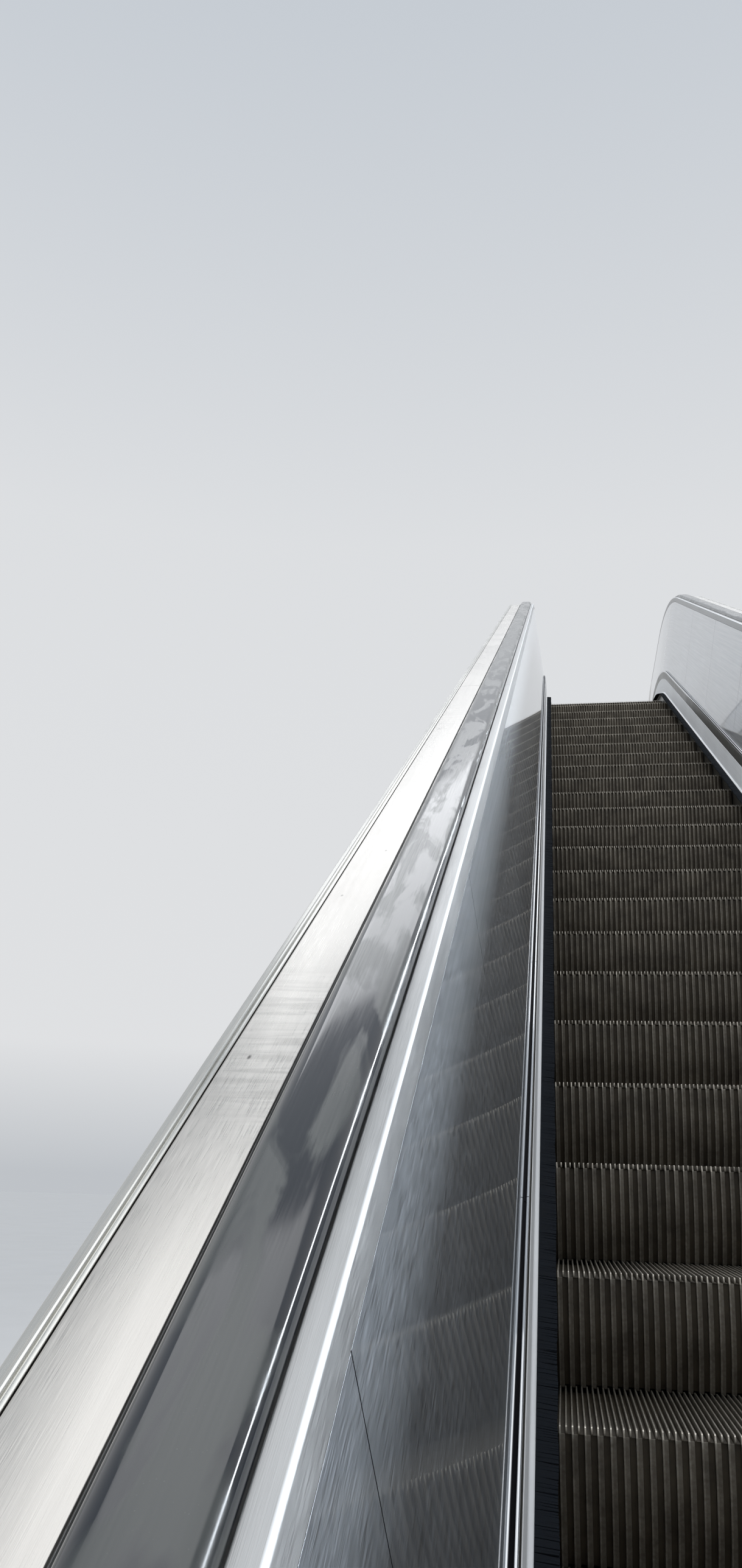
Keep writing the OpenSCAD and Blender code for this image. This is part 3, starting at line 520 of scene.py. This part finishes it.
# %% Profiles of skirt, panel and inner deck
skirt = rounded([(SKIRT_X, -SKIRT_LOW, 0.0008), (SKIRT_X + SHEET, -SKIRT_LOW, 0.0008),
    (SKIRT_X + SHEET, FOOT_N, 0.0008), (SKIRT_X, FOOT_N, 0.0008)])
panel = rounded([(SKIRT_X, FOOT_N, 0.001), (FOOT_X + SHEET, FOOT_N, 0.001),
    (FOOT_X + SHEET, SKIRT_TOP, 0.001), (EDGE_PX + SHEET, PANEL_EDGE, 0.0004),
    (EDGE_PX, PANEL_EDGE - 0.001, 0.0004), (FOOT_X, SKIRT_TOP, 0.003),
    (GROOVE_X, SKIRT_TOP, 0.0012), (GROOVE_X, GROOVE_N, 0.0005), (BEAD_X, GROOVE_N, 0.0005),
    (BEAD_X, SKIRT_TOP + BEAD_H, 0.0015), (SKIRT_X, SKIRT_TOP + BEAD_H, 0.0015)])
UNDER, FLOOR_N = DECK - SHEET, TROUGH_N - SHEET
inner_deck = rounded([(EDGE_PX, PANEL_EDGE, 0.0004), (TOP_X, DECK, 0.004), (TROUGH_X, DECK, 0.002),
    (TROUGH_X, TROUGH_N, 0.001), (OUTER_X, TROUGH_N, 0.001), (OUTER_X, UNDER, 0.001),
    (OUTER_X + SHEET, UNDER, 0.001), (OUTER_X + SHEET, FLOOR_N, 0.001),
    (TROUGH_X - SHEET, FLOOR_N, 0.001), (TROUGH_X - SHEET, UNDER, 0.001),
    (TOP_X + SHEET, UNDER, 0.001), (EDGE_PX + SHEET, PANEL_EDGE, 0.0004)], 4)
print("points: skirt", len(skirt), "panel", len(panel), "inner deck", len(inner_deck))

# %% Profiles of outer deck and edge strip
outer_deck = rounded([(OUTER_X, UNDER, 0.0015), (EDGE_X - SHEET, UNDER, 0.0005),
    (EDGE_X - SHEET, FLOOR_N, 0.0005), (EDGE_X, FLOOR_N, 0.0005), (EDGE_X, DECK, 0.0025),
    (OUTER_X, DECK, 0.002)])
STRIP_X = EDGE_X + 0.0012
edge_strip = rounded([(STRIP_X, UNDER, 0.001), (SIDE_X - SHEET, UNDER - 0.002, 0.0005),
    (SIDE_X - SHEET, DECK - EDGE_H, 0.0005), (SIDE_X, DECK - EDGE_H, 0.0005),
    (SIDE_X, DECK - 0.002, 0.0015), (SIDE_X - 0.008, DECK - 0.001, 0.002),
    (SIDE_X - 0.0105, DECK + 0.0016, 0.0015), (SIDE_X - 0.0135, DECK + 0.0012, 0.0012),
    (SIDE_X - 0.0142, DECK - 0.002, 0.0003), (SIDE_X - 0.0152, DECK - 0.002, 0.0003),
    (SIDE_X - 0.0158, DECK - 0.0002, 0.0006), (STRIP_X, DECK - 0.0002, 0.001)])
print("points: outer deck", len(outer_deck), "edge strip", len(edge_strip))

# %% Dirt and painted light on the rows
# Each corner of the panel has four rows, and each corner of the inner deck has five.
# Below 0 a row darkens: dirt in the joint below the nose, painted shade in the groove at the panel's
# foot. Above 0 a row gets a painted highlight.
DIRT_AND_SHADE, FOLD_HIGHLIGHT, FACE = -1, 1, -0.25
inner_dirt_and_highlight, panel_dirt_and_shade = np.zeros(len(inner_deck)), np.zeros(len(panel))
inner_dirt_and_highlight[:4] = inner_dirt_and_highlight[-5:] = DIRT_AND_SHADE    # the joint below the nose
inner_dirt_and_highlight[4:6] = FACE                     # the nose's face, a little darker than the deck
inner_dirt_and_highlight[6:9] = FOLD_HIGHLIGHT                     # the fold at the top of the nose, given a painted highlight
panel_dirt_and_shade[12:18] = DIRT_AND_SHADE                   # the panel's side of that joint
panel_dirt_and_shade[24:36] = DIRT_AND_SHADE                   # the groove at the panel's foot, darkened as painted shade
print("darkened rows", int((inner_dirt_and_highlight == DIRT_AND_SHADE).sum() + (panel_dirt_and_shade == DIRT_AND_SHADE).sum()))

# %% The sheets
for side, hand in SIDES:
    for kind, profile, finish, slot, lengths, wear_dirt_and_painted_light in (
            ("skirt", skirt, skirt_finish, "skirt_steel", BAYS, None),
            ("interior_panels", panel, panel_finish, "panel_steel", BAYS, panel_dirt_and_shade),
            ("inner_deck", inner_deck, inner_finish, "deck_steel", TRIM_LENGTHS, inner_dirt_and_highlight),
            ("outer_deck", outer_deck, deck_finish, "deck_steel", TRIM_LENGTHS, None),
            ("edge_strip", edge_strip, edge_finish, "edge_steel", TRIM_LENGTHS, None)):
        sheet(f"{kind}_sheets_{hand}", profile, JOINT_LOW_Y, JOINT_UP_Y, finish,
            [f"{kind}_{hand}"], side, lengths, wear_dirt_and_painted_light)

# %% [markdown]
# ## Skirt brush
# A strip of bristles keeps shoes off the skirt. Its aluminium holder has a thin plate against the
# skirt and a small ledge over the bristles, which catches the light from above. The bristles are set
# in tufts. Real hair curves would be heavy, so each tuft is a thin spike, and a little unevenness in
# length and lean gives the row its ragged edge.

# %% Holder
HOLD_X, HOLD_LOW, PLATE_X = SKIRT_X - 0.010, 0.052, SKIRT_X - 0.0015
HOLD_TOP = HOLD_LOW + 0.130
holder = rounded([(HOLD_X, HOLD_LOW, 0.002), (SKIRT_X, HOLD_LOW, 0.0005), (SKIRT_X, HOLD_TOP, 0.0005),
    (PLATE_X, HOLD_TOP, 0.0012), (PLATE_X, HOLD_LOW + 0.0135, 0.003), (HOLD_X, HOLD_LOW + 0.010, 0.003)])
print("points of the holder", len(holder))

# %% Bristle tufts
TUFT_PITCH, TUFT_ROWS, TUFT_LEN = 0.0034, 2, 0.0337
TUFT_HALF_S, TUFT_HALF_N = 0.0022, 0.0016     # half the size of a root, along the run and over it
ROOT_N, DROOP = HOLD_LOW + 0.0025, 0.004


def tufts(name, side, s_from, s_to, replaces):
    """Each tuft is a four sided spike: base ring, tip ring. Base at s along the run, tip moved by a
    smooth wave plus seeded noise, so that length, lean and droop differ a little."""
    rng = np.random.default_rng(7 if side > 0 else 11)
    count = int((s_to - s_from) / TUFT_PITCH)
    total = count * TUFT_ROWS
    s = np.tile(s_from + TUFT_PITCH * (np.arange(count) + 0.5), TUFT_ROWS)
    s = s + rng.uniform(-0.4, 0.4, total) * TUFT_PITCH
    row = np.repeat(np.arange(TUFT_ROWS), count)
    wave = 0.0008 * (1 + np.sin(s * 31 + 2 * np.sin(s * 7)))
    reach = TUFT_LEN - np.abs(rng.normal(0, 0.0005, total)) - wave
    lean, droop = rng.normal(0, 0.0007, total), DROOP + 0.0004 * rng.normal(0, 1, total)
    root_n = ROOT_N + 0.0035 * row
    ring = np.array([(-1, -1), (1, -1), (1, 1), (-1, 1)])
    at_s = np.stack([s[:, None] + TUFT_HALF_S * ring[:, 0],
        (s + lean)[:, None] + 0.8 * TUFT_HALF_S * ring[:, 0]], 1)
    at_n = np.stack([root_n[:, None] + TUFT_HALF_N * ring[:, 1],
        (root_n - droop)[:, None] + 0.5 * TUFT_HALF_N * ring[:, 1]], 1)
    at_x = np.stack([np.full(total, HOLD_X + 0.002), HOLD_X - reach], 1)
    at_x = np.broadcast_to(at_x[:, :, None], at_s.shape)
    y, z, slope = on_run(at_s)
    points = np.stack([side * at_x, y - at_n * np.sin(slope), z + at_n * np.cos(slope)], -1)
    j = np.arange(4)
    around = np.stack([j, (j + 1) % 4, (j + 1) % 4 + 4, j + 4], -1)
    spike = np.concatenate([around, [[3, 2, 1, 0]], [[4, 5, 6, 7]]])
    spike = spike[:, ::-1] if side > 0 else spike
    quads = (8 * np.arange(total)[:, None, None] + spike).reshape(-1, 4)
    part = dict(points=points.reshape(-1, 3), quads=quads, flat=np.zeros((quads.size, 2)), ends=[],
        wear_dirt_and_painted_light=np.zeros(8 * total))
    return to_mesh(name, [part], bristle_finish, replaces=replaces)


for side, hand in SIDES:
    sheet(f"brush_holder_rail_{hand}", holder, COMB_LOW_Y, COMB_UP_Y, holder_finish,
        [f"brush_holder_{hand}"], side, TRIM_LENGTHS)
    tufts(f"bristles_{hand}", side, -LEVEL_RUN + 0.002, LEVEL_UP_S + LEVEL_RUN - 0.002,
        [f"skirt_brush_{hand}"])

# %% [markdown]
# ## Handrail
# The rail is a moulded C of rubber that slides on a guide and comes back inside the balustrade.
# It is one closed loop: over the run, round the upper newel, back underneath, round the lower newel.

# %% Profile of the rail
HOLLOW, MOUTH, LIP, WALL = 0.060, 0.042, 0.006, 0.0117
CROWN, FLAT_W, TURN_STEPS = 0.0004, 0.023, 24     # rise and half width of the crown, steps in a turn


def rail_profile():
    """Outside: half a circle at each side, X = W/2 - r + r cos(a), and between them a crown that rises
    0.4 mm to its middle. Inside: the hollow that the guide fills, and the mouth between the lips."""
    a, r = np.radians(np.linspace(-90, 90, 21)), RAIL_H / 2
    outside = np.stack([RAIL_W / 2 - r + r * np.cos(a), RAIL_TOP - CROWN - r + r * np.sin(a)], -1)
    across = np.linspace(0.019, -0.019, 7)
    crown = np.stack([across, RAIL_TOP - CROWN * (across / FLAT_W) ** 2], -1)
    bottom = RAIL_TOP - RAIL_H
    inside = np.array([(MOUTH, bottom), (MOUTH, bottom + LIP), (HOLLOW, bottom + LIP),
        (HOLLOW, RAIL_TOP - WALL)]) * [-0.5, 1]
    inside = np.concatenate([inside, (inside * [-1, 1])[::-1]])
    return np.concatenate([outside, crown, (outside * [-1, 1])[::-1], inside]) + [RAIL_X, 0]


print("points of the rail", len(rail_profile()))


# %% The loop
def rail_loop(profile, side):
    """Rows of the loop. Over the run the height n stands square to the line. Round a newel it turns
    into a radius n - N about the newel's middle, and on the way back n becomes 2N - n."""
    s = np.concatenate([[NEWEL_LOW_Y - BEND_LOW_Y], np.linspace(0, LOW_BEND, BEND_STEPS + 1),
        np.linspace(BEND_UP_S, LEVEL_UP_S, BEND_STEPS + 1), [LEVEL_UP_S + NEWEL_UP_Y - LEVEL_UP_Y]])
    x, n = profile.T
    turn = np.radians(np.linspace(0, 180, TURN_STEPS + 1))[1:-1, None]
    over = carried(profile, s, side)
    back = carried(np.stack([x, 2 * NEWEL_N - n], -1), s[::-1], side)
    r = (n - NEWEL_N)[None, :]
    upper, lower = (np.stack([side * x + 0 * turn, y + way * r * np.sin(turn),
        z + NEWEL_N + way * r * np.cos(turn)], -1)
        for y, z, way in ((NEWEL_UP_Y, UP_Z, 1), (NEWEL_LOW_Y, LOW_Z, -1)))
    grid = np.concatenate([over, upper, back, lower])
    steps = np.linalg.norm(np.diff(grid.mean(1), axis=0), axis=1)
    return grid_part(grid, np.concatenate([[0], np.cumsum(steps)]), closed=True)


for side, hand in SIDES:
    to_mesh(f"handrail_rubber_{hand}", [rail_loop(rail_profile(), side)], rubber_finish,
        sharp=50, replaces=[f"handrail_{hand}"])

# %% [markdown]
# ## Steps
# A step is a casting: a tread with narrow cleats and a riser that curves about the rear edge of the
# tread, so that the gap to the next step stays closed in the bends. One side outline, carried across
# the width and pushed in at every groove, gives tread and riser in a single grid.

# %% Side view of a step
PITCH, TREAD, RISER, FIRST = 0.405, 0.400, 0.206, 0.248     # FIRST: from the comb to the first nose
CLEAT, CREST, FLANK = 0.0098, 0.0024, 0.0008                # pitch, width of a crest, width of a flank
TREAD_GROOVE, RISER_GROOVE = 0.011, 0.008


def step_rows():
    """Side view as a closed loop of rows: Y, Z, how a tread groove moves the row (dY, dZ), how a riser
    groove moves it, the distance from the nose, how much a cleat's crest and a riser's rib are rubbed.
    The riser lies on a circle about the tread's rear edge: Y = T - T cos(a), Z = -T sin(a)."""
    g = TREAD_GROOVE
    tread = np.array([
        (TREAD, -0.029, 0, 0, 0, 0, -TREAD, 0.1, 0.1),
        (TREAD, 0, 0, -g, 0, 0, -TREAD, 0.7, 0),
        (0.26, 0, 0, -g, 0, 0, -0.26, 0.42, 0),
        (0.03, 0, 0, -g, 0, 0, -0.03, 0.72, 0),
        (0.0045, 0, 0, -g, 0, 0, -0.0045, 1.0, 0),
        (0.0012, -0.0012, 0, 0.0012 - g, 0, 0, 0, 1.0, 0),
        (0.0004, -g, 0, 0, 0, 0, 0.010, 0.45, 0.45),
        (0.0004, -g - 0.0012, 0, 0, RISER_GROOVE, 0, 0.012, 0.25, 0.25)])
    a = np.linspace(0.06, np.arcsin(RISER / TREAD), 4)
    c, s, o = np.cos(a), np.sin(a), 0 * a
    riser = np.stack([TREAD - TREAD * c, -TREAD * s, o, o, RISER_GROOVE * c, RISER_GROOVE * s,
        TREAD * a, o + 0.2, o + 0.2], -1)
    inner, b = TREAD - 0.012, np.array([a[-1], 0.08])
    back = np.stack([TREAD - inner * np.cos(b), -inner * np.sin(b), *[0 * b] * 4, 0.3 + 0 * b,
        0 * b, 0 * b], -1)
    return np.concatenate([tread, riser, back, [(0.02, -0.030, 0, 0, 0, 0, 0.4, 0, 0)]])


print("rows of a step", len(step_rows()))


# %% One cleated step
def cleated():
    """Grid of one step: X stations at the flanks of every cleat. Each second cleat and the groove beside
    it run on as a rib of the riser, so the riser has half as many ribs as the tread has cleats."""
    count = int(STEP_W / (2 * CLEAT))
    flanks = np.array([0, CREST, CREST + FLANK, CLEAT - FLANK, CLEAT, CLEAT + CREST,
        CLEAT + CREST + FLANK, 2 * CLEAT - FLANK])
    x = (2 * CLEAT * (np.arange(count)[:, None] - count / 2) + flanks).ravel()
    x = np.concatenate([[-STEP_W / 2], x, [STEP_W / 2]])
    on_tread, on_riser, edge = (np.concatenate([[end], np.tile(pattern, count), [end]])[:, None]
        for end, pattern in ((0, [0, 0, 1, 1, 0, 0, 1, 1]), (0, [0, 0, 0, 0, 1, 1, 1, 1]),
            (1, [1, 1, 0, 0, 0, 0, 0, 0])))
    o = step_rows()
    y = o[:, 0] + on_tread * o[:, 2] + on_riser * o[:, 4]
    z = o[:, 1] + on_tread * o[:, 3] + on_riser * o[:, 5]
    crest, rib = (1 - on_tread) * o[:, 7], (1 - on_riser) * o[:, 8] * (1 + 0.8 * edge)
    wear_dirt_and_painted_light = np.where(o[:, 8] > 0, rib, crest)
    return np.stack([x[:, None] + 0 * y, y, z], -1), x, np.concatenate([o[:, 6], o[:1, 6]]), wear_dirt_and_painted_light


grid, x_at, v_at, wear_dirt_and_painted_light = cleated()
print("one step", grid.shape)

# %% All the steps
STEPS = int((LEVEL_RUN + LEVEL_UP_S + LEVEL_RUN + FIRST) / PITCH) + 1
nose_y, nose_z, _ = on_run(PITCH * np.arange(STEPS) - FIRST - LEVEL_RUN)
noses = np.stack([0 * nose_y, nose_y, nose_z], -1)
low_count = int(np.ceil((LEVEL_RUN + LOW_BEND + FIRST) / PITCH))
up_first = int(np.ceil((LEVEL_RUN + BEND_UP_S + FIRST) / PITCH))
half = (low_count + up_first) // 2
for name, first, last, node in (
        ("cleats_lower_landing", 0, low_count, ["steps_lower_landing"]),
        ("cleats_incline_low", low_count, half, ["steps_incline"]),
        ("cleats_incline_high", half, up_first, []),
        ("cleats_upper_landing", up_first, STEPS, ["steps_upper_landing"])):
    parts = [grid_part(grid + noses[k], x_at + k, v_at, wear_dirt_and_painted_light) for k in range(first, last)]
    to_mesh(name, parts, cleat_finish, sharp=25, replaces=node)
print("steps", STEPS, "low", low_count, "up from", up_first)

# %% [markdown]
# ## Step frames, axles and wheels
# Under each tread two side frames carry an axle and two pairs of wheels. They show only through gaps,
# so each is an outline in side view that is repeated at two places across the step.

# %% Frames
WHEEL_R, WHEEL_HALF, AXLE_R, AXLE_DROP = 0.037, 0.012, 0.010, 0.175
WHEELS = ((0.110, 0.455), (0.330, 0.399))         # behind the nose, and across to each side
YOKE_X, YOKE_T = (-0.359, 0.349), 0.010
ring = np.radians(np.arange(0, 360, 22.5))
disc = np.stack([np.cos(ring), np.sin(ring)], -1)
yoke = np.array([(0.024, -0.030), (0.385, -0.030), (0.350, -0.187), (0.090, -0.187), (0.065, -0.140)])


def prism(outline, x_from, x_to):
    """An outline in Y and Z repeated at two X stations."""
    p = np.asarray(outline, float)
    return np.stack([np.concatenate([np.full((len(p), 1), x), p], 1) for x in (x_from, x_to)])


bars = [prism(yoke, x, x + YOKE_T) for x in YOKE_X]
for y, x in WHEELS:
    middle = [y, -AXLE_DROP]
    bars += [prism(disc * WHEEL_R + middle, m * x - WHEEL_HALF, m * x + WHEEL_HALF) for m in (-1, 1)]
    bars.append(prism(disc * AXLE_R + middle, -x, x))
parts = [grid_part(b + noses[k], np.array([0, 1.0])) for k in range(STEPS) for b in bars]
to_mesh("step_frames", parts, truss_finish)

# %% [markdown]
# ## Newels
# The newels are steel covers over a frame. Their shape in the frame is right, only their edges are
# too sharp, so a copy of each mesh is merged, its flat faces joined, and a small bevel softens it.

# %% Newels with soft edges
BEVEL, MERGE = 0.0025, 1e-5


def softened(name, node, finish):
    """A copy of a frame mesh: doubles merged, flat faces joined, edges over 30 degrees bevelled."""
    mesh = bpy.data.objects[node].data.copy()
    bm = bmesh.new()
    bm.from_mesh(mesh)
    bmesh.ops.remove_doubles(bm, verts=bm.verts, dist=MERGE)
    bmesh.ops.dissolve_limit(bm, angle_limit=np.radians(0.6), verts=bm.verts, edges=bm.edges)
    edges = [e for e in bm.edges if len(e.link_faces) == 2 and e.calc_face_angle() > np.radians(30)]
    bmesh.ops.bevel(bm, geom=edges, offset=BEVEL, segments=2, profile=0.5, affect="EDGES",
        clamp_overlap=True)
    for face in bm.faces:
        face.smooth = True
    bm.to_mesh(mesh)
    bm.free()
    mesh.set_sharp_from_angle(angle=np.radians(35))
    return show(name, mesh, finish, [node])


NEWELS = [f"{end}_{hand}" for end in ("lower", "upper") for hand in ("left", "right")]
for each in NEWELS:
    softened(f"newel_cover_{each}", f"newel_{each}", newel_finish)

# %% [markdown]
# ## Ribs of the floor
# The plates people step on have ribs that run the way they walk. A bump could draw them, but then the
# mesh would be flat, so a thin sheet with real ribs lies on each plate: one profile carried along Y.

# %% One sheet of ribs
LIFT, SINK = 0.0003, -0.0004       # the sheet's grooves over the plate, and its rim in the plate


def rib_sheet(x_from, x_to, y_from, y_to, top, pitch, rise):
    """Profile across: flat grooves at the top of the plate, and a rib about each (k + 1/4) pitch."""
    first, last = np.array([x_from, x_to]) / pitch - 0.25 + [0.35, -0.35]
    middle = (np.arange(np.ceil(first), np.floor(last) + 1) + 0.25) * pitch
    x = (middle[:, None] + pitch * np.array([-0.28, -0.21, 0.21, 0.28])).ravel()
    z = np.tile([0, rise, rise, 0], len(middle)) + LIFT
    x = np.concatenate([[x_from] * 2, x, [x_to] * 2])
    z = top + np.concatenate([[SINK, LIFT], z, [LIFT, SINK]])
    grid = np.stack([np.stack([x, np.full_like(x, y), z], -1) for y in (y_from, y_to)])
    return grid_part(grid, np.array([y_from, y_to]))


# %% Ribs on the plates
MARGIN_X, MARGIN_Y, SEAM = 0.005, 0.004, 0.002
for end, way in (("lower", 1), ("upper", -1)):
    plate, comb = (np.array(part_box(f"{kind}_plate_{end}")) for kind in ("floor", "comb"))
    (far, near), (seam, lip) = plate[::way, 1], comb[::way, 1]
    stop, half_w = seam - SEAM * way, plate[1, 0]
    areas = [(plate[0, 0], half_w, far, stop), (-half_w, -SKIRT_X, stop, near),
        (SKIRT_X, half_w, stop, near)]
    for name, places, top, pitch, rise, finish in (
            ("floor_ribs", areas, plate[1, 2], FLOOR_RIBS, 0.0015, floor_finish),
            ("comb_plate_ribs", [(comb[0, 0], comb[1, 0], seam, lip)], comb[1, 2], PLATE_RIBS, 0.0012,
                comb_plate_finish)):
        sheets = [rib_sheet(a + MARGIN_X, b - MARGIN_X,
            *sorted((c + MARGIN_Y * way, d - MARGIN_Y * way)), top, pitch, rise)
            for a, b, c, d in places]
        to_mesh(f"{name}_{end}", sheets, finish)

# %% [markdown]
# ## Solids that stay
# Combs, plates, casing, guides and truss are castings, sheets and profiles with plain faces. They
# could be modelled again, but the frame already has them in the right shape. So they stay as they
# are, and only their material changes.

# %% Finishes of the solids that stay
kept = 0
for finish, names in (
        (comb_finish, ("comb_lower", "comb_upper")),
        (comb_plate_finish, ("comb_plate_lower", "comb_plate_upper")),
        (floor_finish, ("floor_plate_lower", "floor_plate_upper")),
        (guide_finish, ("handrail_guide_left", "handrail_guide_right")),
        (inlet_finish, ("handrail_inlets_left", "handrail_inlets_right")),
        (casing_finish, ("side_casing_left", "side_casing_right", "soffit")),
        (truss_finish, ("truss", "cross_frames", "tracks_left", "tracks_right", "end_plate_lower",
            "end_plate_upper", "bearing_angle_lower", "bearing_angle_upper"))):
    for name in names:
        solid = bpy.data.objects[name]
        if not solid.material_slots:
            solid.data.materials.append(finish)
        for each in solid.material_slots:
            each.material = finish
        kept += 1
print("finished solids", kept)

# %% [markdown]
# ## Floor and surround
# Steel shows what is round it. A pale floor, and a surround that is palest near the horizon and
# darker overhead, give the decks a soft gradient instead of one even grey.

# %% Floor
FAR, GROUND = 600, -0.847
corners = [(x * FAR, y * FAR, GROUND) for x, y in ((-1, -1), (1, -1), (1, 1), (-1, 1))]
floor_mesh = bpy.data.meshes.new("floor")
floor_mesh.from_pydata(corners, [], [(0, 1, 2, 3)])
floor = bpy.data.objects.new("floor", floor_mesh)
bpy.context.collection.objects.link(floor)
f = Finish("floor_pale", (0.86, 0.86, 0.86), 0.8)
cloud = f.noise(f.place(0.6, "object"), 3.0)
f.set(Base_Color=f.blend(f.spread(cloud, 0.3, 0.7), (0.85, 0.85, 0.845), (0.88, 0.88, 0.875)))
floor_mesh.materials.append(f.mat)
print("floor at", GROUND, "m")

# %% Surround
SKY = ((0.0, (0.517, 0.541, 0.572)), (0.10, (0.74, 0.75, 0.765)), (0.5, (0.72, 0.735, 0.755)),
    (0.8, (0.56, 0.60, 0.65)), (1.0, (0.36, 0.40, 0.45)))      # how far up, and the colour there
world = bpy.data.worlds.new("surround")
bpy.context.scene.world = world
world.use_nodes = True
nodes, links = world.node_tree.nodes, world.node_tree.links
coords, up, ramp = (nodes.new("ShaderNode" + kind) for kind in ("TexCoord", "SeparateXYZ", "ValToRGB"))
links.new(coords.outputs["Generated"], up.inputs[0])
links.new(up.outputs[2], ramp.inputs[0])
stops = ramp.color_ramp.elements
stops[0].position, stops[1].position = SKY[0][0], SKY[-1][0]
for height, _ in SKY[1:-1]:
    stops.new(height)
for stop, (_, colour) in zip(stops, SKY):
    stop.color = (*colour, 1)
links.new(ramp.outputs[0], nodes["Background"].inputs[0])
nodes["Background"].inputs[1].default_value = 1.0
print("surround", [(round(s.position, 2), [round(c, 3) for c in s.color][:3]) for s in stops])

# %% [markdown]
# ## Light
# Large soft boxes light the whole length without hard glare. The reflection of a long lamp along the
# balustrade is what makes a brushed panel glow, so one strip hangs beside the run, as steep as the
# incline. Only gloss sees it. It would burn out what faces it at close range, so light linking keeps
# it off the casing, the newels, the floor and the edge strip on its own side.


# %% Soft boxes
def soft_light(name, place, target, size, watts, colour=(1, 1, 1)):
    """A soft box: a large rectangle that faces its target and that the camera doesn't see."""
    lamp = bpy.data.lights.new(name, "AREA")
    lamp.shape, lamp.energy, lamp.color = "RECTANGLE", watts, colour
    lamp.size, lamp.size_y = size
    box = bpy.data.objects.new(name, lamp)
    bpy.context.collection.objects.link(box)
    box.location = place
    box.rotation_euler = (Vector(target) - Vector(place)).to_track_quat("-Z", "Y").to_euler()
    box.visible_camera = False
    return box


for name, place, target, size, watts, colour in (
        ("overhead", (0.0, 8.0, 14.0), (0, 8.0, 3.0), (12, 7), 380, (1, 1, 1)),
        ("ahead", (-2.0, 24.0, 21.0), (0, 8.0, 3.0), (14, 5), 420, (0.97, 0.98, 1.0)),
        ("left_side", (-9.0, 5.0, 7.0), (0, 7.0, 6.0), (8, 8), 265, (0.95, 0.98, 1.0)),
        ("right_side", (9.0, 7.0, 6.0), (0, 8.0, 5.5), (8, 8), 235, (1, 1, 1))):
    soft_light(name, place, target, size, watts, colour)

# %% The strip beside the run
strip = soft_light("long_strip", (3.6, 11.4, 6.45), (-0.6, 11.4, 6.45), (22.0, 0.35), 650,
    (0.86, 0.93, 1.0))
strip.rotation_euler = Matrix(((0, 0, 1), (np.cos(TILT), -np.sin(TILT), 0),
    (np.sin(TILT), np.cos(TILT), 0))).to_euler()
strip.visible_diffuse = False
shaded = bpy.data.collections.new("shaded_from_the_strip")
for name in ("floor", "soffit", "truss", "side_casing_left", "side_casing_right",
        *(f"newel_cover_{each}" for each in NEWELS), "edge_strip_sheets_right"):
    shaded.objects.link(bpy.data.objects[name])
strip.light_linking.receiver_collection = shaded
for row in shaded.collection_objects:
    row.light_linking.link_state = "EXCLUDE"

# %% [markdown]
# ## Camera
# The camera stands at eye height over the left end of a step on the incline, a little tilted, and
# looks up the run. Its lens and axes were fitted to the lines of the incline and the step noses.

# %% Camera
LENS, EYE = 27.04, (-0.444, 4.4375, 2.4849)
RIGHT, UP, BACK = (0.988, 0.1535, 0.0284), (0.0227, -0.3202, 0.9473), (0.154, -0.9349, -0.3195)
camera = bpy.data.objects.new("camera", bpy.data.cameras.new("camera"))
bpy.context.collection.objects.link(camera)
camera.data.lens, camera.data.sensor_width, camera.data.sensor_fit = LENS, 36.0, "AUTO"
camera.data.clip_start, camera.data.clip_end = 0.05, 200.0
pose = np.eye(4)
pose[:3, :3], pose[:3, 3] = np.array([RIGHT, UP, BACK]).T, EYE
camera.matrix_world = Matrix(pose.tolist())
bpy.context.scene.camera = camera
bpy.context.scene.view_settings.view_transform = "Standard"
print("camera at", EYE, "lens", LENS)
